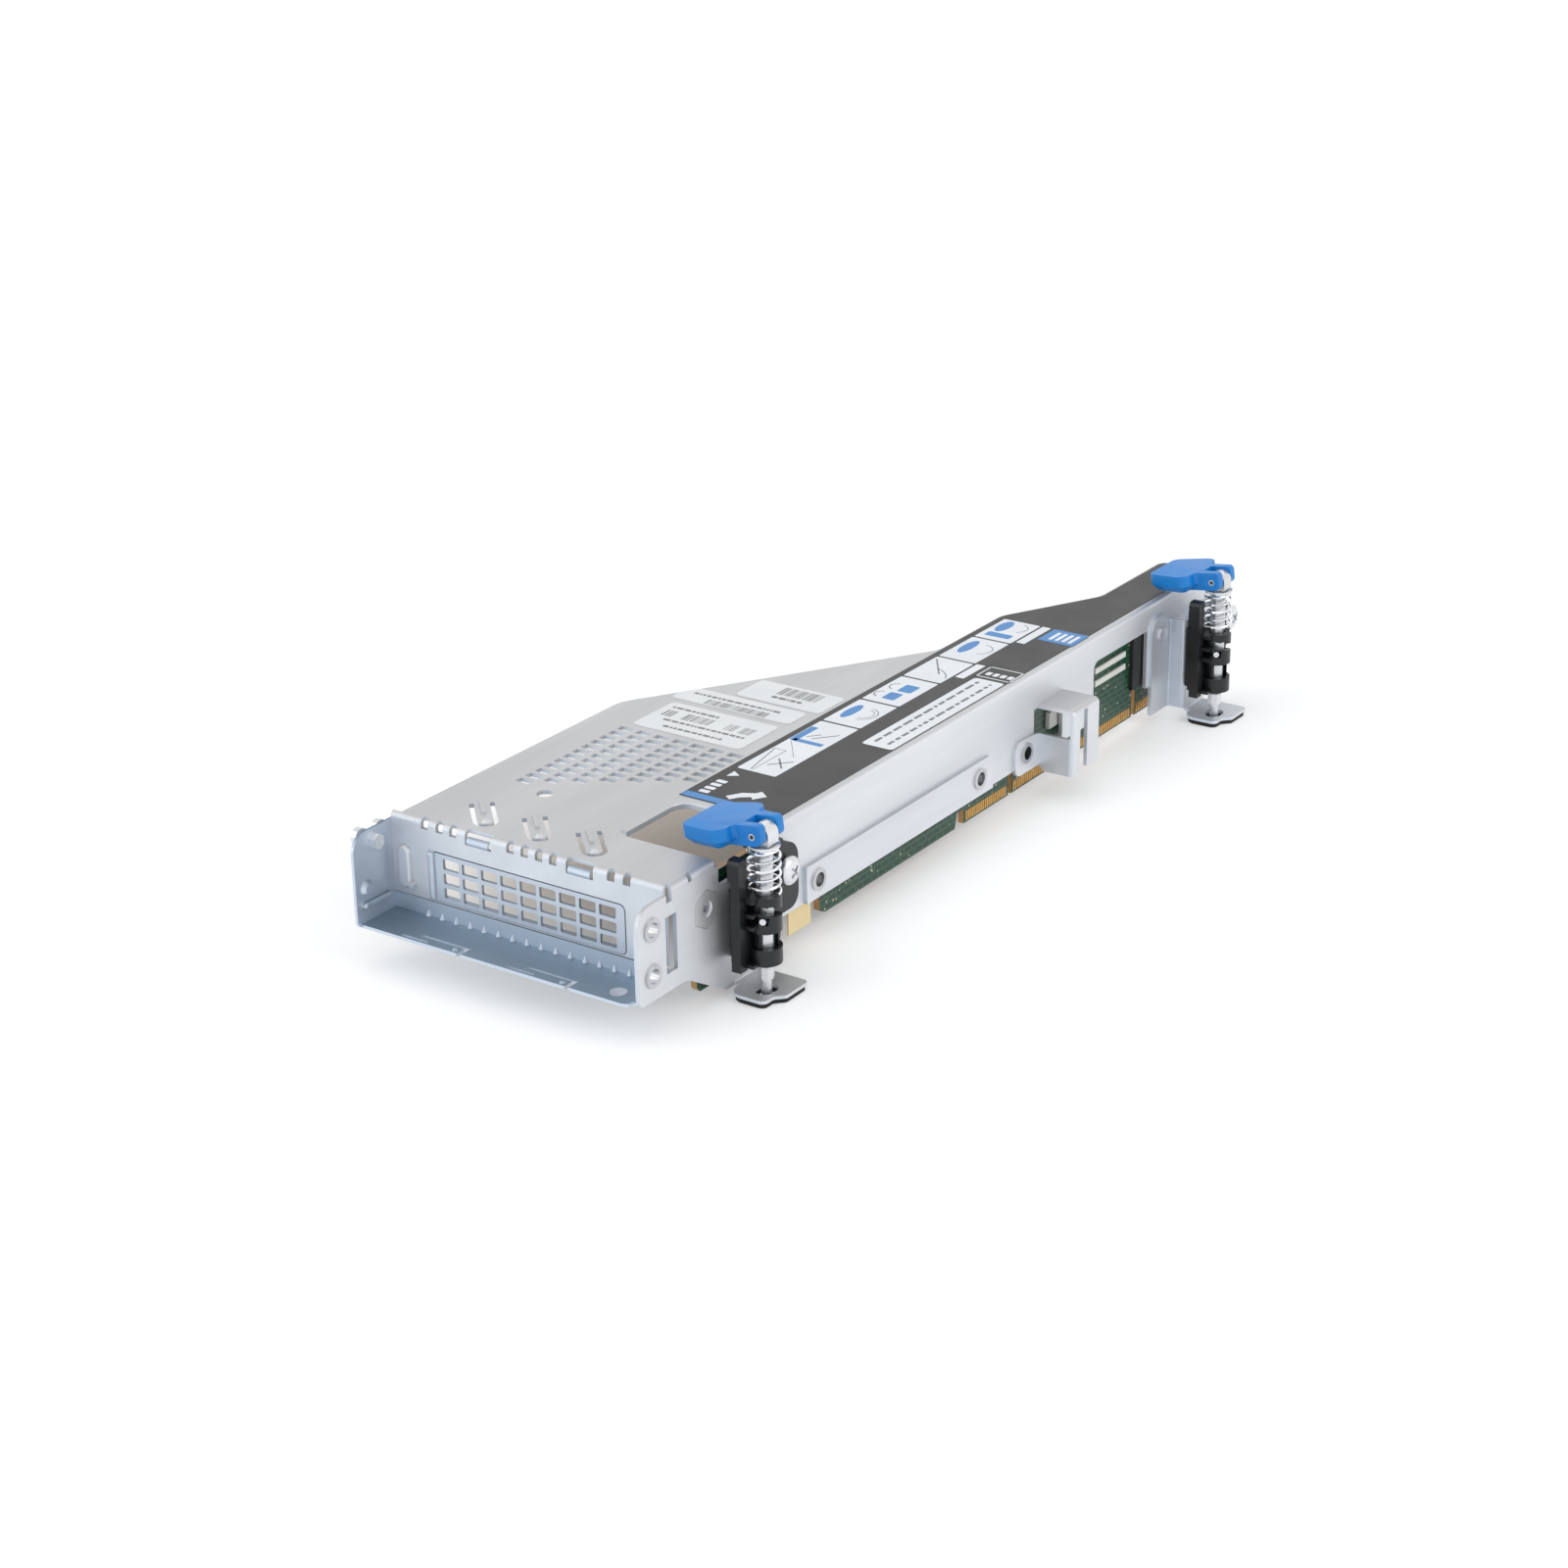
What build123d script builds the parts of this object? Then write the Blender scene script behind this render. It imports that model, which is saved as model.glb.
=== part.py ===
from build123d import *
from math import floor
import os

# A low-profile riser cage: a folded sheet cage with a vertical board, a vented slot cover in its
# input/output box, and two sprung turn latches on the outside of the side wall. Sizes are in mm.
# X runs across from the left ear, Y from the shelf's front edge to the far end, Z up from the shelf.

# Cage sheet
cage_width = 80.0  # outer face of the left ear to the outer face of the side wall
cage_height = 24.8  # underside of the shelf to the top of the panel
cage_length = 264.0
cage_sheet = 1.0
frame_sheet = 0.8
bend_radius = 1.4  # outside of a bend
bend_inner = 0.4
fit_gap = 0.2  # beside a piece that lies in an opening

# Input/output box
box_depth = 12.35  # front edge of the shelf to the front plate
strip_height = 4.6
ear_height = 22.8
ear_reach = 1.0  # the left ear stands this far in front of the shelf
ear_corner = 4.5
ear_foot_radius = 1.5
shelf_corner = 4.0
shelf_side_gap = 1.0
ridge_groove = 0.3  # gap between the lower strip and the front plate
dart_count = 15
dart_first = 10.6
dart_right = 11.2  # last dart to the outer face of the side wall
dart_radius = 0.8
dart_tip = 0.15
dart_height = 1.4
finger_slit_width = 0.7
finger_slit_length = 14.0
finger_slit_depth = 3.1  # from the front edge
finger_notch_width = 1.2
finger_first = 30.4  # right end of the left contact finger in the shelf
finger_right = 18.8  # right end of the other one to the side wall
finger_dimple_radius = 1.1
finger_dimple_height = 0.5
finger_dimple_inset = 2.1
short_slit_length = 7.5
short_slit_start = 18.0  # back from the finger's end
short_slit_depth = 1.0

# Bend windows along the top of the front plate
window_width = 2.1
window_drop = 2.4
window_back = 1.7
window_left = (10.9, 15.3, 19.3)
window_middle = (-4.0, 0.1, 4.2, 8.2)  # from the middle of the cage
window_right = (15.6, 11.2)  # to the outer face of the side wall
clip_window_width = 7.6
clip_window_drop = 3.4
clip_middle = (-13.3, 15.7)  # from the middle of the cage
clip_height = 1.9
clip_inset = 0.7

# Slot cover and the opening it fills
slot_left = 12.4
slot_inset = 11.8  # right end of the opening to the side wall
slot_low = 5.2
slot_high = 17.6
cover_sheet = 0.8
cover_margin = 0.2  # raised field inside the slot opening
cover_rise = 0.15  # raised field in front of the front plate
cover_flange = 1.6  # flange behind the front plate
cover_corner = 1.4
vent_columns = 9
vent_rows = 3
vent_left_margin = 3.6
vent_right_margin = 2.6
vent_web = 0.97
vent_height = 2.6
vent_pitch_z = 3.6
vent_radius = 0.4
ridge_left = 11.7  # upright ridge at the left end of the cover
ridge_width = 1.9
ridge_rise = 0.9
bar_left = 4.6  # raised bar on the front plate
bar_level = 11.9
bar_width = 3.8
bar_length = 10.8
bar_rise = 1.1
bar_pin_radius = 0.8
bar_pin_up = 1.4  # above the lower end of the bar
tongue_radius = 1.5  # curled end of the slot cover, seen in the side wall

# Top panel outline; sizes named "back" run from the far end, sizes named "reach" from the side wall
panel_left = 3.4
panel_shoulder_back = 168.0
panel_shoulder_radius = 9.0
waist_start_back = 94.0
waist_reach = 29.1
waist_end_back = 63.0
tail_back = 35.0
tail_reach = 14.4
panel_bend_radius = 8.0
panel_end_radius = 3.0

# Spring fingers, hole and perforation in the panel
tongue_count = 3
tongue_pitch = 15.6
tongue_first_x = 19.6
tongue_first_y = 23.2
tongue_turn = -45.0
tongue_length = 11.0
tongue_span = 4.8  # between the centres of the two arms of the slot
tongue_slot = 1.15
tongue_rib_width = 1.0
tongue_rib_height = 0.5
tongue_dome_radius = 1.3
tongue_dome_height = 0.7
panel_hole_radius = 2.1
panel_hole_x = 24.7
panel_hole_y = 39.4
perf_columns = 7
perf_rows = 12
perf_left = 15.7
perf_back = 82.0
perf_pitch_x = 5.45
perf_pitch_y = 3.55
perf_length = 3.9
perf_width = 2.2

# Hand opening in the panel, beside the near latch
hand_reach = 25.4
hand_near = 29.6
hand_far = 52.0
hand_radius = 4.0
rim_width = 1.7
rim_height = 0.5

# Side wall outline
wall_front = 1.2
wall_front_radius = 4.5
wall_lip_top = 22.9
wall_low = 0.8  # lower edge behind the near foot
wall_low_end = 18.5
ramp_end = 33.0
skirt_low = -8.5
wall_drop_start = 31.0
wall_drop_height = 18.0
wall_rise = 52.6
notch_place = 19.8
notch_width = 1.3
notch_depth = 1.8
strip_start = 64.2
strip_end_back = 116.5
strip_top = 10.0
strip_corner = 2.2
look_start_back = 63.8  # window that shows the board
look_end_back = 34.6
look_top = 17.4
look_radius = 2.4
ramp_radius = 5.0
wall_tail_low = 9.3  # lower edge of the wall behind the far bracket
slot_window_near = 11.2
slot_window_far = 15.2
slot_window_low = 4.3
slot_window_high = 17.9

# Hook on the side wall
hook_back = 93.3
hook_length = 13.2
hook_relief = 1.5  # the opening it was cut from starts this far in front
hook_reach = 10.8
hook_top = 15.4
hook_leg_low = -2.6
hook_leg_step = 0.9  # the second leg is this much shorter
hook_first_leg = 3.6
hook_gap = 3.6
hook_slope_reach = 2.4
hook_plate_top = 7.6
hook_ear_length = 12.2
hook_ear_low = -0.8
hook_ear_top = 8.7
hook_ear_radius = 2.6

# Feet and their pads
foot_top = -8.0
foot_sheet = 0.8
pad_height = 1.2
pad_inset = 0.3
foot_near_reach = 5.9  # from the latch axis towards the front
foot_far_reach = 8.7
foot_side_reach = 5.6
foot_step_reach = 3.4
foot_step_depth = 3.6
foot_bend_inset = 4.9  # the bend starts this far behind the foot's front edge
foot_front_radius = 3.4
foot_step_radius = 1.6
foot_corner = 1.3
foot_hole_radius = 2.3
foot_hole_shift = 0.7

# Far bracket
far_plate_back = 23.4
far_plate_top = 17.9
far_step = 5.9  # the far latch stands this much further out than the near one
far_flange_back = 33.2
far_flange_low = -7.5
far_flange_top = 20.4
far_flange_radius = 4.6
far_wall_top = 21.0
boss_back = 27.9
boss_place_z = 14.8
boss_radius = 2.0
boss_height = 0.7

# Latch placing
latch_gap = 8.0  # axis to the wall that the carrier sits on
near_axis_y = 37.4
far_axis_back = 20.7

# Latch carrier, heights above the shelf and the rest from the latch axis
carrier_base = 2.4
carrier_bore = 2.3
carrier_ring_radius = 3.85
carrier_sleeve_radius = 3.0
carrier_low = -0.8
carrier_side = 1.5
carrier_arm = 12.0  # the base runs this far towards the screw
ring_low_top = 3.2
ring_middle_low = 7.2
ring_top = 15.9
base_top = 20.5
rail_right = -1.7
rail_width = 2.5
rail_front = -7.4
rail_depth = 2.6
rail_low = -1.7
rail_top = 20.2
rail_head_top = 25.4
rail_head_width = 3.2
rail_head_radius = 1.2
link_left = -6.0
plate_reach = 0.6
plate_front = -5.7
plate_levels = (-0.8, 8.6, 11.6, 15.0)
plate_height = 0.9
post_near = 11.4
post_far = 13.9
post_out = 3.4
post_top = 22.9
near_flange_reach = 21.4
far_flange_reach = 17.6
flange_low = 3.6
flange_low_radius = 3.5
flange_top_radius = 5.0
view_turn = -28.0
view_half = 2.3
notch_turn = -33.0
notch_half = 0.75
notch_low = 12.2
notch_top = 13.8
carrier_screw_y = 15.4
carrier_screw_z = 14.5
carrier_screw_radius = 3.45
carrier_screw_height = 2.0
carrier_shank_radius = 1.5
carrier_boss_radius = 2.8
carrier_boss_height = 1.3

# Helical slots of the carrier, and the pin that climbs in them
pin_height = 10.5
cross_radius = 0.75
cross_half = 4.2
cross_turn = 27.0
latch_lift = 2.4
latch_turn = 180.0
slot_half = 0.92
slot_inside = 2.2
slot_outside = 4.7
slot_run_on = 20.0  # degrees past each end of the pin's travel

# Latch shaft
shaft_radius = 2.0
running_gap = 0.3  # between curved faces of different bodies
knuckle_rise = 6.1  # pivot above the panel
knuckle_radius = 2.6
knuckle_drop = 0.6  # middle of the eye below the pivot
knuckle_width = 4.0
eye_depth = 2.7  # pivot to the flat underside of the eye
washer_height = 0.6
washer_radius = 3.7
spring_wire = 0.33
spring_radius = 3.6
spring_turns = 5.0
neck_radius = 1.5
neck_height = 1.5
key_radius = 1.9
key_height = 3.4
tip_radius = 1.3
tip_reach = 0.9  # below the top of the foot

# Handle
handle_droop = 8.0  # at rest the paddle hangs this many degrees below level
handle_top = 2.65  # above the pivot
handle_low = -2.2
paddle_reach = 17.2
paddle_back = 4.7
paddle_end_width = 14.8
paddle_width = 20.4
paddle_end_radius = 2.2
paddle_radius = 3.2
paddle_bevel = 1.9
fork_half = 4.6
fork_gap = 0.25
fork_end = 2.3
fork_top_radius = 1.2
fork_low_radius = 1.6
fork_back = 3.3
neck_fillet = 1.2
handle_pin_radius = 0.8
handle_pin_wall = 0.3
handle_pin_clearance = 0.1

# Riser board
board_sheet = 1.6
board_standoff = 1.6  # side wall to the board
board_near = 25.4
board_end_back = 25.0
board_top = 20.0
board_low = -6.9
board_chamfer = 1.2
board_gap_low = -1.0
board_first_end = 58.0
board_second_start = 74.4
board_second_back = 127.8
contact_start_backs = (124.8, 101.6, 36.0)
contact_end_backs = (103.0, 37.8, 25.8)
key_top = (-3.0, -0.5, 0.8)
contact_pitch = 1.0
contact_width = 0.7
contact_height = 2.6
contact_thickness = 0.1
contact_margin = 0.5
connector_start = 62.0
connector_back = 121.0
connector_width = 7.5
connector_reach = 11.25
connector_z = 16.0
connector_slot = 1.9
connector_slot_depth = 7.6
connector_key = 12.6
connector_key_width = 1.9
header_back = 39.4
header_length = 6.4
header_low = 1.5
header_high = 16.6
header_reach = 1.1
bar_part_back = 59.0
bar_part_length = 16.5
bar_part_height = 1.5
bar_part_reach = 0.5
bar_part_first = 8.6
bar_part_second = 12.2
hook_part_shift = 9.1  # behind the hook's front plate
hook_part_length = 6.0
hook_part_low = 5.2
hook_part_height = 4.4
tab_start = 61.0
tab_length = 9.2
tab_low = -6.9
tab_height = 9.0
tab_sheet = 0.4

# Fasteners
nut_radius = 2.75
nut_hole = 1.75
nut_proud = 0.5
wall_nut_y = 6.1
wall_nut_levels = (6.0, 17.1)
strip_nut_first = 4.7  # from the near end of the strip
strip_nut_last = 6.6  # from its far end
strip_nut_z = 5.5
hook_nut_front = 6.8  # in front of the hook
hook_nut_z = 4.6
board_screw_radius = 2.7
board_screw_height = 1.2
board_screw_recess = 1.6  # its end lies inside the strip nut
hex_place_y = 26.3
hex_place_z = 14.1
hex_radius = 4.9
hex_hole = 2.1
hex_stud_radius = 1.7
hex_stud_recess = 0.3
hex_length = 2.0
ear_screw_y = 6.2
ear_screw_z = 19.6
ear_screw_radius = 1.95
ear_screw_height = 1.6
ear_shank_radius = 1.4
ear_stud_places = ((3.1, 21.4), (9.6, 21.2))
ear_stud_radius = 2.1
ear_stud_height = 1.5
ear_rib_low = 5.0
ear_rib_start = 0.9
ear_rib_length = 9.4
ear_rib_height = 1.6
ear_rib_rise = 0.9
ear_rivet_radius = 0.6
ear_rivet_height = 0.4
ear_dimple_y = 2.7
ear_dimple_z = 9.0
ear_dimple_radius = 2.0
shelf_disc_inset = 8.1
shelf_disc_y = 4.1
shelf_disc_radius = 2.0
shelf_disc_height = 0.15

# Label and stickers
skin = 0.15
label_start = 55.6
label_reach = 28.6
label_margin = 0.7  # inside the panel's edge
label_right_margin = 1.4
sticker_x0 = (14.9, 12.2, 24.8)
sticker_x1 = (47.1, 47.8, 50.2)
sticker_y0 = (-10.5, 9.4, 19.2)  # from the panel's shoulder
sticker_y1 = (6.8, 17.9, 31.4)
sticker_radius = 1.5
sticker_margin = 0.3  # inside the panel's slanted edge

os.makedirs("parts", exist_ok=True)

wall_in = cage_width - cage_sheet
panel_under = cage_height - cage_sheet
plate_back = box_depth + cage_sheet
plate_low = strip_height + ridge_groove
dart_last = cage_width - dart_right
finger_ends = (finger_first, cage_width - finger_right)
cage_middle = cage_width / 2
window_places = list(window_left)
window_places += [cage_middle + x for x in window_middle]
window_places += [cage_width - x for x in window_right]
clip_places = [cage_middle + x for x in clip_middle]
slot_right = cage_width - slot_inset
panel_shoulder = cage_length - panel_shoulder_back
panel_waist_start = cage_length - waist_start_back
panel_waist_left = cage_width - waist_reach
panel_waist_end = cage_length - waist_end_back
panel_tail_start = cage_length - tail_back
panel_tail_left = cage_width - tail_reach
hand_left = cage_width - hand_reach
label_left = cage_width - label_reach
shelf_disc_x = cage_width - shelf_disc_inset
strip_end = cage_length - strip_end_back
strip_nut_places = (strip_start + strip_nut_first, strip_end - strip_nut_last)
look_start = cage_length - look_start_back
look_end = cage_length - look_end_back
hook_front = cage_length - hook_back
hook_end = hook_front + hook_length
hook_nut_place = hook_front - hook_nut_front
foot_low = foot_top - foot_sheet
board_face = wall_in - board_standoff
board_back = board_face - board_sheet
board_end = cage_length - board_end_back
board_second_end = cage_length - board_second_back
contact_starts = [cage_length - back for back in contact_start_backs]
contact_ends = [cage_length - back for back in contact_end_backs]
far_wall = cage_width + far_step
far_plate_start = cage_length - far_plate_back
far_flange_start = cage_length - far_flange_back
boss_place_y = cage_length - boss_back
near_axis_x = cage_width + latch_gap
far_axis_x = far_wall + latch_gap
far_axis_y = cage_length - far_axis_back
far_end = far_axis_y + far_flange_reach
knuckle_height = cage_height + knuckle_rise
eye_low = knuckle_height - eye_depth
washer_top = eye_low - running_gap
washer_low = washer_top - washer_height
cut = 5.0  # reach of a cutting tool past the sheet


def block(x0, x1, y0, y1, z0, z1):
    """A box between two corners."""
    return Pos((x0 + x1) / 2, (y0 + y1) / 2, (z0 + z1) / 2) * Box(x1 - x0, y1 - y0, z1 - z0)


def bar_x(x0, x1, y, z, radius):
    """A round bar along X."""
    return Pos((x0 + x1) / 2, y, z) * Rot(0, 90, 0) * Cylinder(radius, x1 - x0)


def bar_y(x, y0, y1, z, radius):
    """A round bar along Y."""
    return Pos(x, (y0 + y1) / 2, z) * Rot(90, 0, 0) * Cylinder(radius, y1 - y0)


def bar_z(x, y, z0, z1, radius):
    """A round bar along Z."""
    return Pos(x, y, (z0 + z1) / 2) * Cylinder(radius, z1 - z0)


def plate_x(points, radii, x0, x1):
    """A plate across X from an outline of (y, z) corners, each with its own radius."""
    outline = FilletPolyline(*points, radius=radii, close=True)
    return extrude(Plane.YZ.offset(x0) * make_face(outline), x1 - x0)


def plate_z(points, radii, z0, z1):
    """A plate across Z from an outline of (x, y) corners, each with its own radius."""
    outline = FilletPolyline(*points, radius=radii, close=True)
    return extrude(Plane.XY.offset(z0) * make_face(outline), z1 - z0)


def panel_outline(inset, start, end, left_limit=0.0):
    """Corners and radii of the top panel's outline, moved in by inset at the left."""
    left = max(panel_left + inset, left_limit)
    points = [
        (left, start),
        (left, panel_shoulder),
        (panel_waist_left + inset, panel_waist_start),
        (panel_waist_left + inset, panel_waist_end),
        (panel_tail_left + inset, panel_tail_start),
        (panel_tail_left + inset, end),
    ]
    radii = [0, panel_shoulder_radius, panel_bend_radius, panel_bend_radius, panel_bend_radius]
    return points, radii + [panel_end_radius]


def foot_outline(x0, axis_x, axis_y, inset):
    """Corners and radii of a foot plate round a latch axis."""
    left = x0 + inset
    right = axis_x + foot_side_reach - inset
    step = axis_x + foot_step_reach - inset
    front = axis_y - foot_near_reach + inset
    back = axis_y + foot_far_reach - inset
    points = [
        (left, front),
        (step, front),
        (step, front + foot_step_depth),
        (right, front + foot_step_depth + right - step),
        (right, back),
        (left, back),
    ]
    return points, [foot_front_radius, foot_step_radius, foot_corner, foot_corner, foot_corner, 0]


def foot(x_wall, axis_x, axis_y, z_top):
    """A wall that turns outwards into a foot: the bend, then the plate with its hole."""
    section = FilletPolyline(
        (x_wall - cage_sheet, z_top),
        (x_wall - cage_sheet, foot_low),
        (x_wall + cage_sheet + bend_radius, foot_low),
        (x_wall + cage_sheet + bend_radius, foot_top),
        (x_wall, foot_top),
        (x_wall, z_top),
        radius=[0, bend_radius, 0, 0, bend_inner, 0],
        close=True,
    )
    y0 = axis_y - foot_near_reach + foot_bend_inset
    y1 = axis_y + foot_far_reach
    turn = extrude(Plane.XZ.offset(-y0) * make_face(section), -(y1 - y0))
    points, radii = foot_outline(x_wall + bend_radius, axis_x, axis_y, 0)
    plate = plate_z(points, radii, foot_low, foot_top)
    return turn + plate - foot_hole(axis_x, axis_y)


def foot_hole(axis_x, axis_y):
    """The slotted hole that the shaft's tip stands in."""
    low = foot_low - 2 * pad_height
    tool = bar_z(axis_x, axis_y - foot_hole_shift, low, foot_top + 1, foot_hole_radius)
    return tool + bar_z(axis_x, axis_y + foot_hole_shift, low, foot_top + 1, foot_hole_radius)


def main_cage():
    """The folded sheet: top panel, front plate, side wall, hook and near foot."""
    left = frame_sheet
    outer = block(left, cage_width, box_depth, cage_length, foot_low - cut, cage_height)
    outer = fillet(outer.edges().filter_by(Axis.X).group_by(Axis.Z)[-1].sort_by(Axis.Y)[0], bend_radius)
    long_edges = outer.edges().filter_by(Axis.Y).group_by(Axis.Z)[-1]
    outer = fillet(long_edges.sort_by(Axis.X)[-1], bend_radius)
    inner = block(left - 1, wall_in, plate_back, cage_length + 1, foot_low - 2 * cut, panel_under)
    inner = fillet(inner.edges().filter_by(Axis.X).group_by(Axis.Z)[-1].sort_by(Axis.Y)[0], bend_inner)
    long_edges = inner.edges().filter_by(Axis.Y).group_by(Axis.Z)[-1]
    inner = fillet(long_edges.sort_by(Axis.X)[-1], bend_inner)
    cage = outer - inner
    cage -= panel_trim()
    cage -= block(-1, wall_in, box_depth - 1, plate_back, foot_low - 2 * cut, plate_low)
    lip = [(wall_front, 0), (plate_back, 0), (plate_back, wall_lip_top), (wall_front, wall_lip_top)]
    cage += plate_x(lip, [ear_foot_radius, 0, 0, wall_front_radius], wall_in, cage_width)
    cage -= wall_trim()
    cage -= panel_cuts()
    cage += panel_raised()
    cage -= front_cuts()
    cage += front_bar()
    cage += hook()
    cage += foot(cage_width, near_axis_x, near_axis_y, foot_top + bend_radius)
    cage -= wall_holes()
    return cage


def panel_trim():
    """What is taken off the sheet to the left of the panel's outline."""
    points, radii = panel_outline(0, plate_back, cage_length)
    right = cage_width + 1
    keep = plate_z(points + [(right, cage_length), (right, plate_back)], radii + [0, 0], -cut, 2 * cage_height)
    slab = block(-1, wall_in - bend_radius, plate_back, cage_length + 1, 0, cage_height + 1)
    return slab - keep


def wall_trim():
    """What is taken off the side wall: its lower edge, windows, drops and notches."""
    x0 = wall_in - bend_inner
    x1 = cage_width + 1
    low = foot_low - 2 * cut
    high = cage_height + cut
    bend_front = near_axis_y - foot_near_reach + foot_bend_inset
    foot_back = near_axis_y + foot_far_reach
    ramp = [(-cut, low), (-cut, 0), (wall_low_end, 0), (ramp_end, skirt_low), (bend_front, skirt_low),
            (bend_front, low)]
    window = [(look_start, low), (look_start, look_top), (look_end, look_top), (look_end, low)]
    drop = [(wall_drop_start, wall_drop_height), (wall_rise, wall_drop_height), (wall_rise, high),
            (wall_drop_start, high)]
    return [
        plate_x(ramp, [0, 0, ramp_radius, bend_radius, 0, 0], x0, x1),
        block(x0, x1, bend_front, foot_back, low, foot_top + bend_radius),
        block(x0, x1, foot_back, cage_length + 1, low, wall_low),
        block(x0, x1, hook_front - hook_relief, hook_end, low, hook_top - cage_sheet),
        plate_x(window, [0, look_radius, 0, 0], x0, x1),
        block(x0, x1, far_plate_start, cage_length + 1, low, wall_tail_low),
        plate_x(drop, [bend_radius, bend_radius, 0, 0], x0, x1),
        block(x0, x1, notch_place, notch_place + notch_width, cage_height - notch_depth, high),
        block(x0, x1, box_depth - notch_width / 2, plate_back + bend_inner, wall_lip_top - notch_depth, high),
    ]


def spring_slot():
    """The U-shaped slot round one spring finger, about its own origin, along X."""
    half = tongue_span / 2
    wide = half + tongue_slot / 2
    narrow = half - tongue_slot / 2
    low = panel_under - 1
    high = cage_height + 1
    ring = bar_z(tongue_length / 2, 0, low, high, wide) - bar_z(tongue_length / 2, 0, low, high, narrow)
    ring -= block(-cut, tongue_length / 2, -cut, cut, low, high)
    arm = block(-tongue_length / 2, tongue_length / 2, narrow, wide, low, high)
    other = block(-tongue_length / 2, tongue_length / 2, -wide, -narrow, low, high)
    return ring + arm + other


def spring_places():
    """Where the spring fingers sit on the panel."""
    turn = Rot(0, 0, tongue_turn)
    return [Pos(tongue_first_x + i * tongue_pitch, tongue_first_y, 0) * turn for i in range(tongue_count)]


def panel_cuts():
    """Spring-finger slots, round hole, perforation and hand opening."""
    low = panel_under - 1
    high = cage_height + 1
    cuts = [place * spring_slot() for place in spring_places()]
    cuts.append(bar_z(panel_hole_x, panel_hole_y, low, high, panel_hole_radius))
    for column in range(perf_columns):
        x = perf_left + column * perf_pitch_x
        for row in range(perf_rows - column):
            y = perf_back - row * perf_pitch_y
            cuts.append(Pos(x, y, (low + high) / 2) * Box(perf_length, perf_width, high - low))
    cuts.append(hand_tool(0, low, high))
    return cuts


def hand_tool(grow, z0, z1):
    """The hand opening's outline, open to the side wall, grown by a margin."""
    points = [
        (hand_left - grow, hand_near - grow),
        (cage_width + cut, hand_near - grow),
        (cage_width + cut, hand_far + grow),
        (hand_left - grow, hand_far + grow),
    ]
    return plate_z(points, [hand_radius / 2, 0, 0, hand_radius + grow], z0, z1)


def panel_raised():
    """The rolled rim of the hand opening, and the ribs and domes on the spring fingers."""
    rim = hand_tool(rim_width, cage_height, cage_height + rim_height)
    rim -= hand_tool(0, cage_height - 1, cage_height + 1)
    rim -= block(0, 2 * cage_width, 0, hand_near + rim_width, cage_height - 1, cage_height + 1)
    rim -= block(label_left - rim_width, 2 * cage_width, hand_far + rim_width, cage_length, 0, 2 * cage_height)
    rim -= block(wall_in - bend_radius, 2 * cage_width, 0, cage_length, 0, 2 * cage_height)
    rim = fillet(rim.edges().filter_by(GeomType.LINE).group_by(Axis.Z)[-1].filter_by(Axis.Y), rim_height * 0.8)
    raised = [rim]
    for place in spring_places():
        rib = block(-tongue_length / 2 - 1, 1, -tongue_rib_width / 2, tongue_rib_width / 2, panel_under,
                    cage_height + tongue_rib_height)
        dome = Pos(tongue_length / 2, 0, cage_height) * Cone(
            tongue_dome_radius, tongue_dome_radius / 2, tongue_dome_height, align=(Align.CENTER, Align.CENTER, Align.MIN)
        )
        raised += [place * rib, place * dome]
    return raised


def front_cuts():
    """Bend windows, clip windows and the slot opening in the front plate."""
    cuts = []
    for x in window_places:
        cuts.append(block(x - window_width / 2, x + window_width / 2, box_depth - 1, box_depth + window_back,
                          cage_height - window_drop, cage_height + 1))
    for x in clip_places:
        cuts.append(block(x - clip_window_width / 2, x + clip_window_width / 2, box_depth - 1,
                          box_depth + window_back, cage_height - clip_window_drop, cage_height + 1))
    opening = Pos((slot_left + slot_right) / 2, box_depth, (slot_low + slot_high) / 2) * Rot(90, 0, 0)
    sketch = RectangleRounded(slot_right - slot_left, slot_high - slot_low, cover_corner + cover_margin)
    cuts.append(opening * extrude(sketch, 2 * cage_sheet, both=True))
    return cuts


def front_bar():
    """The raised bar on the front plate, left of the slot, with its small pin."""
    place = Pos(bar_left, box_depth, bar_level) * Rot(90, 0, 0)
    bar = place * extrude(SlotOverall(bar_length, bar_width, rotation=90), bar_rise)
    bar = fillet(bar.faces().sort_by(Axis.Y)[0].edges(), bar_rise * 0.7)
    pin = bar_y(bar_left + bar_width / 2, box_depth - bar_rise, box_depth,
                bar_level - bar_length / 2 + bar_pin_up, bar_pin_radius)
    return [bar, pin]


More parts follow.
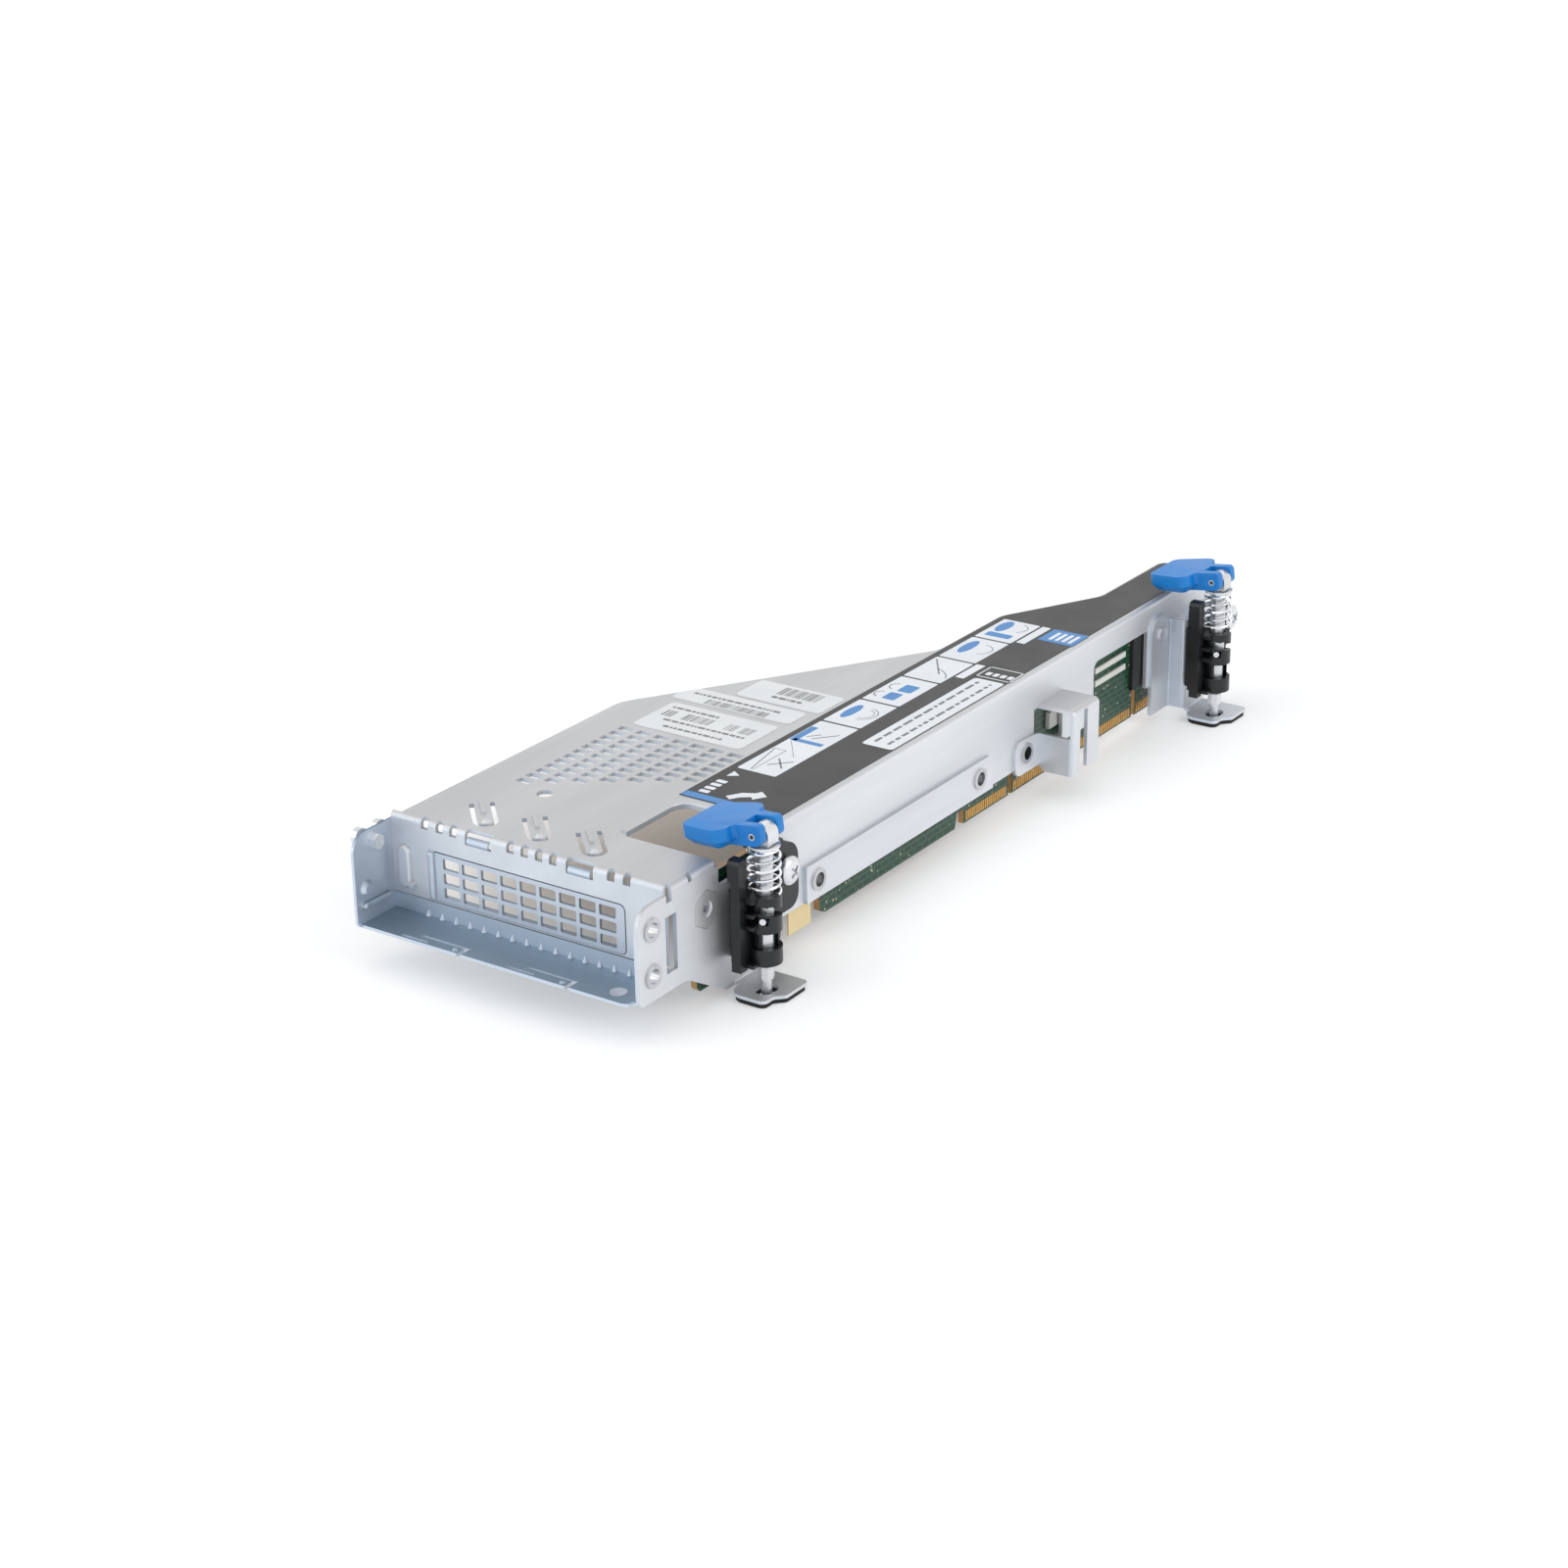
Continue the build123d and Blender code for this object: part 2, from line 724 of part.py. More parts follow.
def hook():
    """The hook bent out of the side wall: top, front plate, two legs and an ear on the wall."""
    x1 = cage_width + hook_reach
    under = hook_top - cage_sheet
    shell = block(wall_in, x1, hook_front, hook_end, hook_leg_low, hook_top)
    shell = fillet(shell.edges().filter_by(Axis.Y).group_by(Axis.Z)[-1].sort_by(Axis.X)[-1], bend_radius)
    upright = shell.edges().filter_by(Axis.Z).group_by(Axis.X)[-1].sort_by(Axis.Y)[0]
    shell = fillet(upright, bend_radius)
    low = hook_leg_low - 1
    inner = x1 - cage_sheet
    plate = hook_front + cage_sheet
    shell -= block(cage_width - cut, inner, plate, hook_end + 1, low, under)
    shell -= block(cage_width, inner, hook_front - 1, plate + 1, hook_plate_top, under)
    gap = hook_front + hook_first_leg
    leg = cage_width + bend_radius
    shell -= block(leg, x1 + 1, gap, gap + hook_gap, low, under)
    shell -= block(leg, x1 + 1, gap, hook_end + 1, low, hook_leg_low + hook_leg_step)
    corner = Polyline(
        (wall_in, low),
        (cage_width + hook_slope_reach, low),
        (cage_width + hook_slope_reach, hook_leg_low),
        (cage_width, hook_ear_low),
        (wall_in, hook_ear_low),
        close=True,
    )
    shell -= extrude(Plane.XZ.offset(-hook_front) * make_face(corner), -2 * cage_sheet)
    shell -= block(wall_in - 1, cage_width, hook_front - 1, hook_end + 1, low, under)
    ear = plate_x(
        [
            (hook_front - hook_ear_length, hook_ear_low),
            (hook_front + cage_sheet / 2, hook_ear_low),
            (hook_front + cage_sheet / 2, hook_plate_top),
            (hook_front - 2 * cage_sheet, hook_ear_top - cage_sheet / 2),
            (hook_front - hook_ear_length, hook_ear_top),
        ],
        [hook_ear_radius, 0, 0, cage_sheet, hook_ear_radius],
        cage_width,
        cage_width + cage_sheet,
    )
    return [shell, ear]


def hexagon_bar(x0, x1, y, z, radius):
    """A hexagonal bar along X with corners up and down."""
    sketch = RegularPolygon(radius, 6, rotation=0)
    return extrude(Plane.YZ.offset(x0) * Pos(y, z) * Rot(0, 0, 90) * sketch, x1 - x0)


def wall_holes():
    """Round, hexagonal and square holes through the side wall and hook ear."""
    x0 = wall_in - 1
    x1 = cage_width + cage_sheet + 1
    cuts = [bar_x(x0, x1, wall_nut_y, z, nut_radius - nut_proud) for z in wall_nut_levels]
    cuts += [bar_x(x0, cage_width + 1, y, strip_nut_z, nut_radius - nut_proud) for y in strip_nut_places]
    cuts.append(bar_x(x0, x1, hook_nut_place, hook_nut_z, nut_radius - nut_proud))
    cuts.append(hexagon_bar(x0, x1, hex_place_y, hex_place_z, hex_radius))
    cuts.append(block(x0, x1, slot_window_near, slot_window_far, slot_window_low, slot_window_high))
    cuts.append(bar_x(x0, x1, near_axis_y + carrier_screw_y, carrier_screw_z, carrier_shank_radius))
    return cuts


def io_frame():
    """The second folded sheet: shelf, left ear, right ear and lower strip with its darts."""
    right = wall_in
    shelf = plate_z(
        [(0, 0), (right, 0), (right, box_depth + frame_sheet), (0, box_depth + frame_sheet)],
        [ear_foot_radius, shelf_corner, 0, 0],
        0,
        frame_sheet,
    )
    ear = plate_x(
        [
            (-ear_reach, 0),
            (box_depth + frame_sheet, 0),
            (box_depth + frame_sheet, ear_height),
            (-ear_reach, ear_height),
        ],
        [ear_foot_radius, 0, 0, ear_corner],
        0,
        frame_sheet,
    )
    inner_ear = plate_x(
        [
            (wall_front + frame_sheet, 0),
            (box_depth, 0),
            (box_depth, ear_height - notch_depth - frame_sheet),
            (wall_front + frame_sheet, ear_height - notch_depth - frame_sheet),
        ],
        [ear_foot_radius, 0, 0, ear_corner],
        right - frame_sheet,
        right,
    )
    strip = block(0, right, box_depth, box_depth + frame_sheet, 0, strip_height)
    frame = shelf + ear + inner_ear + strip
    frame -= block(right - frame_sheet - shelf_side_gap, right + 1, -1, wall_front + frame_sheet, -1, frame_sheet + 1)
    frame += darts()
    frame -= shelf_cuts()
    frame += shelf_dimples()
    frame += ear_rib()
    frame -= [bar_x(right - cut, right + 1, wall_nut_y, z, nut_radius - nut_proud) for z in wall_nut_levels]
    frame -= bar_x(-cut, cut, ear_screw_y, ear_screw_z, ear_shank_radius)
    return frame


def darts():
    """A row of small pointed gussets pressed into the bend under the slot cover."""
    pitch = (dart_last - dart_first) / (dart_count - 1)
    cone = Cone(dart_radius, dart_tip, dart_height, align=(Align.CENTER, Align.CENTER, Align.MIN))
    return [Pos(dart_first + i * pitch, box_depth, frame_sheet) * cone for i in range(dart_count)]


def shelf_cuts():
    """Slits and notches that free the contact fingers along the shelf's front edge."""
    cuts = []
    low = -1
    high = frame_sheet + 1
    half = finger_slit_width / 2
    for x in finger_ends:
        cuts.append(block(x - finger_slit_length, x, finger_slit_depth - half, finger_slit_depth + half, low, high))
        cuts.append(block(x - finger_notch_width, x, -1, finger_slit_depth + half, low, high))
        start = x - short_slit_start
        cuts.append(block(start, start + short_slit_length, short_slit_depth - half, short_slit_depth + half, low,
                          high))
    return cuts


def shelf_dimples():
    """A round dimple near the tip of each contact finger."""
    dimple = Cone(finger_dimple_radius, finger_dimple_radius / 2, finger_dimple_height,
                  align=(Align.CENTER, Align.CENTER, Align.MIN))
    return [Pos(x - finger_dimple_inset - finger_notch_width / 2, finger_slit_depth / 2, frame_sheet) * dimple
            for x in finger_ends]


def ear_rib():
    """The raised rib and half-round dimple inside the left ear."""
    x0 = frame_sheet
    middle = ear_rib_start + ear_rib_length / 2
    place = Plane.YZ.offset(x0) * Pos(middle, ear_rib_low)
    rib = extrude(place * SlotOverall(ear_rib_length, ear_rib_height), ear_rib_rise)
    rib = fillet(rib.faces().sort_by(Axis.X)[-1].edges(), ear_rib_height / 4)
    dimple = Pos(x0, ear_dimple_y, ear_dimple_z) * Rot(0, 90, 0) * Cone(
        ear_dimple_radius, ear_dimple_radius * 0.6, ear_rib_rise, align=(Align.CENTER, Align.CENTER, Align.MIN)
    )
    dimple -= block(x0 - 1, x0 + cut, 0, 2 * ear_dimple_y, ear_dimple_z - 2 * ear_dimple_radius,
                    ear_dimple_z - ear_dimple_radius / 2)
    return [rib, dimple]


def slot_cover():
    """The vented blank: a field in the slot opening, a ridge, a flange behind and a curled end."""
    x0 = slot_left + cover_margin
    x1 = slot_right - cover_margin
    z0 = slot_low + cover_margin
    z1 = slot_high - cover_margin
    middle = Pos((x0 + x1) / 2, 0, (z0 + z1) / 2)
    front = box_depth - cover_rise
    back = plate_back + cover_sheet
    field = RectangleRounded(x1 - x0, z1 - z0, cover_corner)
    hollow = RectangleRounded(x1 - x0 - 2 * cover_sheet, z1 - z0 - 2 * cover_sheet, cover_corner / 2)
    body = middle * (Plane.XZ.offset(-back) * extrude(field, back - front))
    cavity = middle * (Plane.XZ.offset(-back - 1) * extrude(hollow, back + 1 - front - cover_sheet))
    flange = block(x0 - cover_flange, wall_in - 2 * tongue_radius, plate_back, back, slot_low, z1 + cover_flange)
    cover = body + flange - cavity
    cover -= vents(front)
    ridge = block(ridge_left, ridge_left + ridge_width, box_depth - ridge_rise, box_depth, z0, z1)
    ridge = fillet(ridge.faces().sort_by(Axis.Y)[0].edges(), ridge_rise * 0.8)
    curl_x = wall_in - tongue_radius - fit_gap
    curl_y = plate_back + cover_sheet - tongue_radius / 2
    tongue = bar_z(curl_x, curl_y, slot_low, slot_high, tongue_radius)
    tongue = fillet(tongue.edges().group_by(Axis.Z)[-1], tongue_radius / 2)
    tongue -= block(curl_x - cut, curl_x + cut, plate_back - cut, plate_back, 0, cage_height)
    web = block(wall_in - cut, curl_x, plate_back, back, slot_low, z1)
    return cover + ridge + tongue + web


def vents(front):
    """Rows and columns of rounded rectangular vents."""
    first = slot_left + vent_left_margin
    pitch = (slot_right - vent_right_margin - first + vent_web) / vent_columns
    width = pitch - vent_web
    tool = extrude(Plane.XZ * RectangleRounded(width, vent_height, vent_radius), cover_sheet, both=True)
    middle_z = (slot_low + slot_high) / 2
    cuts = []
    for column in range(vent_columns):
        x = first + width / 2 + column * pitch
        for row in range(vent_rows):
            z = middle_z + (row - (vent_rows - 1) / 2) * vent_pitch_z
            cuts.append(Pos(x, front + cover_sheet / 2, z) * tool)
    return cuts


def gasket_clips():
    """Two bowed spring strips, each in the lower part of its clip window."""
    clips = []
    width = clip_window_width - 2 * clip_inset
    thick = cover_sheet / 2
    low = cage_height - clip_window_drop
    for x in clip_places:
        outer = ThreePointArc((box_depth, low), (box_depth - thick, low + clip_height / 2),
                              (box_depth + thick, low + clip_height))
        inner = ThreePointArc((box_depth + thick, low), (box_depth, low + clip_height / 2),
                              (box_depth + 2 * thick, low + clip_height))
        band = make_face([outer, inner, Line(outer @ 0, inner @ 0), Line(outer @ 1, inner @ 1)])
        clips.append(extrude(Plane.YZ.offset(x - width / 2) * band, width))
    return clips


def side_strip():
    """The sheet on the outside of the side wall, low down, that the board's screws go into."""
    points = [(strip_start, wall_low), (strip_end, wall_low), (strip_end, strip_top), (strip_start, strip_top)]
    strip = plate_x(points, [0, 0, strip_corner, 0], cage_width, cage_width + cage_sheet)
    x0 = cage_width - 1
    x1 = cage_width + cut
    return strip - [bar_x(x0, x1, y, strip_nut_z, nut_radius - nut_proud) for y in strip_nut_places]


def far_bracket():
    """The folded sheet that steps outwards at the far end, with the far foot."""
    flange = plate_x(
        [
            (far_flange_start, far_flange_low),
            (far_plate_start, far_flange_low),
            (far_plate_start, far_flange_top),
            (far_flange_start, far_flange_top),
        ],
        [0, 0, far_flange_radius, far_flange_radius],
        cage_width,
        cage_width + cage_sheet,
    )
    section = FilletPolyline(
        (cage_width, far_plate_start - cage_sheet),
        (cage_width + cage_sheet, far_plate_start - cage_sheet),
        (cage_width + cage_sheet, far_plate_start),
        (far_wall, far_plate_start),
        (far_wall, far_end),
        (far_wall - cage_sheet, far_end),
        (far_wall - cage_sheet, far_plate_start + cage_sheet),
        (cage_width, far_plate_start + cage_sheet),
        radius=[0, 0, bend_inner, bend_radius, 0, 0, bend_inner, bend_radius],
        close=True,
    )
    bracket = extrude(Plane.XY.offset(far_flange_low) * make_face(section), far_plate_top - far_flange_low)
    bracket += flange
    inner = far_wall - cage_sheet
    bracket += block(inner, far_wall, far_plate_start + bend_radius, far_end, far_plate_top - 1, far_wall_top)
    bracket += foot(far_wall, far_axis_x, far_axis_y, far_flange_low + bend_radius)
    screw_y = far_axis_y + carrier_screw_y
    bracket -= bar_x(far_wall - cut, far_wall + 1, screw_y, carrier_screw_z, carrier_shank_radius)
    return bracket - bar_x(cage_width - 1, cage_width + cut, boss_place_y, boss_place_z, boss_radius / 2)


def foot_pads():
    """The thin black pads under the two feet."""
    pads = []
    for x0, axis_x, axis_y in (
        (cage_width + bend_radius, near_axis_x, near_axis_y),
        (far_wall + bend_radius, far_axis_x, far_axis_y),
    ):
        points, radii = foot_outline(x0, axis_x, axis_y, pad_inset)
        pads.append(plate_z(points, radii, foot_low - pad_height, foot_low) - foot_hole(axis_x, axis_y))
    return pads


def board_outline():
    """Corners of the riser board, seen from the side wall."""
    points = [(board_near, board_low + board_chamfer), (board_near + board_chamfer, board_low)]
    points += [(board_first_end, board_low), (board_first_end + board_chamfer, board_gap_low)]
    points += [(board_second_start, board_gap_low), (board_second_start, board_low + board_chamfer)]
    points += [(board_second_start + 2 * board_chamfer, board_low), (board_second_end - board_chamfer, board_low)]
    last = board_second_end
    for start, end, top in zip(contact_starts, contact_ends, key_top):
        points += [(last, top), (start, top), (start, board_low), (end, board_low)]
        last = end
    points += [(contact_ends[-1], key_top[-1]), (board_end, key_top[-1])]
    points += [(board_end, board_top), (board_near, board_top)]
    return points


def riser_board():
    """The vertical circuit board with its stepped lower edge."""
    outline = Polyline(*board_outline(), close=True)
    board = extrude(Plane.YZ.offset(board_back) * make_face(outline), board_sheet)
    return board - [bar_x(board_back - 1, board_face + 1, y, strip_nut_z, nut_hole) for y in strip_nut_places]


def edge_contacts():
    """Gold contact pads in rows along both faces of the lower edge."""
    pads = []
    for start, end in zip(contact_starts, contact_ends):
        count = floor((end - start - 2 * contact_margin) / contact_pitch)
        spare = (end - start - count * contact_pitch) / 2
        for i in range(count):
            y = start + spare + (i + 0.5) * contact_pitch
            low = board_low + contact_margin
            for x0 in (board_face, board_back - contact_thickness):
                pads.append(block(x0, x0 + contact_thickness, y - contact_width / 2, y + contact_width / 2, low,
                                  low + contact_height))
    return pads


def slot_connector():
    """The card slot on the inner face of the board, open towards the left ear."""
    x0 = board_back - connector_reach
    z0 = connector_z - connector_width / 2
    y1 = cage_length - connector_back
    body = block(x0, board_back, connector_start, y1, z0, z0 + connector_width)
    margin = connector_key_width
    groove = block(x0 - 1, x0 + connector_slot_depth, connector_start + margin, y1 - margin,
                   connector_z - connector_slot / 2, connector_z + connector_slot / 2)
    key = block(x0, x0 + connector_slot_depth, connector_start + margin + connector_key,
                connector_start + margin + connector_key + connector_key_width, z0, z0 + connector_width)
    return body - groove + key


def board_header():
    """The black socket near the far end of the board, seen in the window."""
    y0 = cage_length - header_back
    return block(board_face, board_face + header_reach, y0, y0 + header_length, header_low, header_high)


def board_parts():
    """Pale parts on the outer face of the board."""
    y0 = cage_length - bar_part_back
    parts = [block(board_face, board_face + bar_part_reach, y0, y0 + bar_part_length, z, z + bar_part_height)
             for z in (bar_part_first, bar_part_second)]
    y0 = hook_front + hook_part_shift
    parts.append(block(board_face, board_face + header_reach, y0, y0 + hook_part_length, hook_part_low,
                       hook_part_low + hook_part_height))
    return parts


def insulator_tab():
    """The amber sheet that hangs in the board's first notch, behind the side strip."""
    return block(board_face, board_face + tab_sheet, tab_start, tab_start + tab_length, tab_low, tab_low + tab_height)


def ring_nut(x_face, x_back, y, z):
    """A clinched ring nut: a collar proud of the sheet and a barrel through it."""
    nut = bar_x(x_back, x_face, y, z, nut_radius - nut_proud)
    nut += bar_x(x_face, x_face + nut_proud, y, z, nut_radius)
    return nut - bar_x(x_back - 1, x_face + nut_proud + 1, y, z, nut_hole)


def carrier(reach):
    """The black latch body, about the latch axis: base, flange, rail, rings and helical slots."""
    wall = -latch_gap
    face = wall + carrier_base
    base = block(wall, face, -carrier_side, carrier_arm, carrier_low, base_top)
    flange = plate_x(
        [(0, flange_low), (reach, flange_low), (reach, base_top), (0, base_top)],
        [0, flange_low_radius, flange_top_radius, 0],
        wall,
        face,
    )
    post = block(wall, wall + post_out, post_near, post_far, flange_low + flange_low_radius, post_top)
    web = block(wall, -carrier_bore, -carrier_side, carrier_ring_radius, carrier_low, ring_top)
    body = base + flange + post + web + carrier_rail()
    body += bar_x(face, face + carrier_boss_height, carrier_screw_y, carrier_screw_z, carrier_boss_radius)
    body += bar_z(0, 0, carrier_low, ring_top, carrier_sleeve_radius)
    body += bar_z(0, 0, carrier_low, ring_low_top, carrier_ring_radius)
    body += bar_z(0, 0, ring_middle_low, ring_top, carrier_ring_radius)
    body -= bar_z(0, 0, carrier_low - 1, ring_top + 1, carrier_bore)
    body -= helical_slots()
    out = 2 * carrier_ring_radius
    body -= Rot(0, 0, view_turn) * block(1, out, -view_half, view_half, ring_low_top, ring_middle_low)
    body -= Rot(0, 0, notch_turn) * block(1, out, -notch_half, notch_half, notch_low, notch_top)
    return body - bar_x(wall - 1, 0, carrier_screw_y, carrier_screw_z, carrier_shank_radius)


def carrier_rail():
    """The upright rail in front of the rings, its head, and the plates that join it to them."""
    left = rail_right - rail_width
    back = rail_front + rail_depth
    rail = block(left, rail_right, rail_front, back, rail_low, rail_top)
    head = block(rail_right - rail_head_width, rail_right, rail_front, back + fit_gap, rail_top, rail_head_top)
    head = fillet(head.edges().filter_by(Axis.X).group_by(Axis.Z)[-1].sort_by(Axis.Y)[0], rail_head_radius)
    link = block(link_left, rail_right - fit_gap, back - fit_gap, -carrier_side, carrier_low, ring_top)
    link += block(-latch_gap, link_left + 1, -carrier_side - 1, -carrier_side + 1, carrier_low, ring_top)
    x0 = rail_right - 1
    plates = [block(x0, plate_reach, plate_front, -carrier_bore, z, z + plate_height) for z in plate_levels]
    return rail + head + link + plates


def helical_slots():
    """Two slots that rise round the bore, one for each end of the cross pin."""
    run_on = latch_lift * slot_run_on / latch_turn
    path = Helix(
        pitch=2 * latch_lift,
        height=latch_lift + 2 * run_on,
        radius=(slot_inside + slot_outside) / 2,
        lefthand=True,
    )
    profile = Plane(origin=path @ 0, x_dir=(1, 0, 0), z_dir=path % 0)
    slot = sweep(profile * Rectangle(slot_outside - slot_inside, 2 * slot_half), path=path, is_frenet=True)
    slot = Pos(0, 0, pin_height - run_on) * Rot(0, 0, cross_turn - 90 + slot_run_on) * slot
    return [slot, Rot(0, 0, 180) * slot]


def carrier_screw():
    """The round-headed screw that holds the carrier to its wall."""
    seat = -latch_gap + carrier_base + carrier_boss_height
    head = bar_x(seat, seat + carrier_screw_height, carrier_screw_y, carrier_screw_z, carrier_screw_radius)
    head = fillet(head.edges().group_by(Axis.X)[-1], carrier_screw_height * 0.4)
    return head + bar_x(-latch_gap - cage_sheet, seat, carrier_screw_y, carrier_screw_z, carrier_shank_radius)


def shaft():
    """The latch shaft: an arched eye at the top, a necked and faceted key at the bottom."""
    key_top_z = -neck_height
    key_low = key_top_z - key_height
    middle = knuckle_height - knuckle_drop
    half = knuckle_width / 2
    body = bar_z(0, 0, -running_gap, eye_low + 1, shaft_radius)
    body += bar_y(0, -half, half, middle, knuckle_radius)
    body += block(-knuckle_radius, knuckle_radius, -half, half, eye_low, middle)
    body += bar_z(0, 0, key_top_z, -running_gap, neck_radius)
    key = extrude(Plane.XY.offset(key_low) * RegularPolygon(key_radius, 8), key_height)
    body += chamfer(key.edges().group_by(Axis.Z)[-1], key_radius - neck_radius)
    body += bar_z(0, 0, foot_top - tip_reach, key_low, tip_radius)
    body -= bar_y(0, -knuckle_width, knuckle_width, knuckle_height, handle_pin_radius + handle_pin_clearance)
    return body - Rot(0, 0, cross_turn) * bar_y(0, -knuckle_width, knuckle_width, pin_height, cross_radius)


def cross_pin():
    """The pin across the shaft that rides in the helical slots."""
    return Rot(0, 0, cross_turn) * bar_y(0, -cross_half, cross_half, pin_height, cross_radius)


def washer():
    """The seat between the spring and the shaft's eye."""
    ring = bar_z(0, 0, washer_low, washer_top, washer_radius)
    return ring - bar_z(0, 0, washer_low - 1, washer_top + 1, shaft_radius + running_gap)


def spring():
    """The bright compression spring round the shaft."""
    low = ring_top + spring_wire
    height = washer_low - spring_wire - low
    path = Helix(pitch=height / spring_turns, height=height, radius=spring_radius)
    profile = Plane(origin=path @ 0, z_dir=path % 0) * RegularPolygon(spring_wire, 6)
    return Pos(0, 0, low) * sweep(profile, path=path)


def handle():
    """The blue flip handle: a bevelled paddle and a fork round the shaft's eye."""
    points = [
        (-paddle_reach, -paddle_end_width / 2),
        (-paddle_back, -paddle_width / 2),
        (-paddle_back, -fork_half),
        (-fork_back, -fork_half),
        (-fork_back, fork_half),
        (-paddle_back, fork_half),
        (-paddle_back, paddle_width / 2),
        (-paddle_reach, paddle_end_width / 2),
    ]
    radii = [paddle_end_radius, paddle_radius, neck_fillet, 0, 0, neck_fillet, paddle_radius, paddle_end_radius]
    paddle = plate_z(points, radii, handle_low, handle_top)
    rim = paddle.faces().sort_by(Axis.Z)[0].edges().sort_by(Axis.X)[:-1]
    paddle = chamfer(rim, paddle_bevel)
    fork = block(-paddle_back - paddle_bevel, fork_end, -fork_half, fork_half, handle_low, handle_top)
    ends = fork.edges().filter_by(Axis.Y).group_by(Axis.X)[-1].sort_by(Axis.Z)
    fork = fillet(ends[0], fork_low_radius)
    fork = fillet(fork.edges().filter_by(Axis.Y).group_by(Axis.Z)[-1].sort_by(Axis.X)[-1], fork_top_radius)
    gap = knuckle_width / 2 + fork_gap
    body = paddle + fork
    body -= block(-fork_back, fork_end + 1, -gap, gap, handle_low - 1, handle_top + 1)
    body -= bar_y(0, -2 * fork_half, 2 * fork_half, 0, handle_pin_radius)
    return rest_pose(body)


def rest_pose(piece):
    """A piece about the pivot, moved to the pivot's height with the paddle's droop."""
    return Pos(0, 0, knuckle_height) * Rot(0, -handle_droop, 0) * piece


def handle_pin():
    """The hollow pin through the fork and the eye."""
    pin = bar_y(0, -fork_half, fork_half, 0, handle_pin_radius)
    return rest_pose(pin - bar_y(0, -2 * fork_half, 2 * fork_half, 0, handle_pin_radius - handle_pin_wall))


def label():
    """The printed skin on the panel, following its outline."""
    points, radii = panel_outline(label_margin, label_start, cage_length - label_margin, label_left)
    right = cage_width - label_right_margin
    points = points[2:]
    points = [(label_left, label_start), (label_left, panel_waist_end)] + points[2:]
    radii = [0] + radii[3:]
    points += [(right, cage_length - label_margin), (right, label_start)]
    return plate_z(points, radii + [0, 0], cage_height, cage_height + skin)


def stickers():
    """Three pale stickers on the panel; the middle one is trimmed along the slanted edge."""
    points, radii = panel_outline(sticker_margin, plate_back, cage_length)
    points += [(cage_width, cage_length), (cage_width, plate_back)]
    field = plate_z(points, radii + [0, 0], cage_height, cage_height + skin)
    out = []
    for x0, x1, y0, y1 in zip(sticker_x0, sticker_x1, sticker_y0, sticker_y1):
        sketch = RectangleRounded(x1 - x0, y1 - y0, sticker_radius)
        sticker = Pos((x0 + x1) / 2, panel_shoulder + (y0 + y1) / 2, cage_height) * extrude(sketch, skin)
        out.append(sticker & field)
    return out


def fasteners():
    """Every fixed fastener that isn't part of a latch."""
    nodes = {}
    nodes["wall_nuts"] = [ring_nut(cage_width, wall_in - frame_sheet, wall_nut_y, z) for z in wall_nut_levels]
    strip_face = cage_width + cage_sheet
    nodes["strip_nuts"] = [ring_nut(strip_face, board_face, y, strip_nut_z) for y in strip_nut_places]
    nodes["hook_nut"] = [ring_nut(cage_width + cage_sheet, wall_in, hook_nut_place, hook_nut_z)]
    hexagon = hexagon_bar(cage_width - hex_length, cage_width, hex_place_y, hex_place_z, hex_radius - fit_gap / 2)
    nodes["hex_insert"] = [hexagon - bar_x(wall_in - cut, cage_width + 1, hex_place_y, hex_place_z, hex_hole)]
    stud = bar_x(cage_width - hex_length, cage_width - hex_stud_recess, hex_place_y, hex_place_z, hex_hole)
    nodes["hex_stud"] = [stud - bar_x(cage_width - hex_length - 1, cage_width + 1, hex_place_y, hex_place_z,
                                      hex_stud_radius / 2)]
    screw = hexagon_bar(frame_sheet, frame_sheet + ear_screw_height, ear_screw_y, ear_screw_z, ear_screw_radius)
    screw += bar_x(0, frame_sheet, ear_screw_y, ear_screw_z, ear_shank_radius)
    nodes["ear_screw"] = [screw]
    nodes["ear_studs"] = [bar_x(-ear_stud_height, 0, y, z, ear_stud_radius) for y, z in ear_stud_places]
    rivet_x = frame_sheet + ear_rib_rise
    nodes["ear_rivet"] = [bar_x(rivet_x, rivet_x + ear_rivet_height, ear_rib_start + ear_rib_height / 2, ear_rib_low,
                                ear_rivet_radius)]
    nodes["shelf_disc"] = [bar_z(shelf_disc_x, shelf_disc_y, frame_sheet, frame_sheet + shelf_disc_height,
                                 shelf_disc_radius)]
    boss = bar_x(cage_width + cage_sheet, cage_width + cage_sheet + boss_height, boss_place_y, boss_place_z, boss_radius)
    boss += bar_x(cage_width, cage_width + cage_sheet, boss_place_y, boss_place_z, boss_radius / 2)
    nodes["boss_rivet"] = [boss]
    nodes["board_screws"] = [board_screw(y) for y in strip_nut_places]
    return nodes


def board_screw(y):
    """A pan-head screw from the inner face of the board into a strip nut."""
    head = bar_x(board_back - board_screw_height, board_back, y, strip_nut_z, board_screw_radius)
    return head + bar_x(board_back, cage_width - board_screw_recess, y, strip_nut_z, nut_hole)


def latch_nodes():
    """Both latches: each moving piece is a node of its own."""
    nodes = {}
    places = {"near": Pos(near_axis_x, near_axis_y, 0), "far": Pos(far_axis_x, far_axis_y, 0)}
    makers = {"shaft": shaft, "cross_pin": cross_pin, "washer": washer, "spring": spring, "handle": handle,
              "handle_pin": handle_pin}
    for side, reach in (("near", near_flange_reach), ("far", far_flange_reach)):
        nodes[f"{side}_carrier"] = [places[side] * carrier(reach)]
    for name, maker in makers.items():
        piece = maker()
        for side, place in places.items():
            nodes[f"{side}_{name}"] = [place * piece]
    nodes["carrier_screws"] = [place * carrier_screw() for place in places.values()]
    return nodes


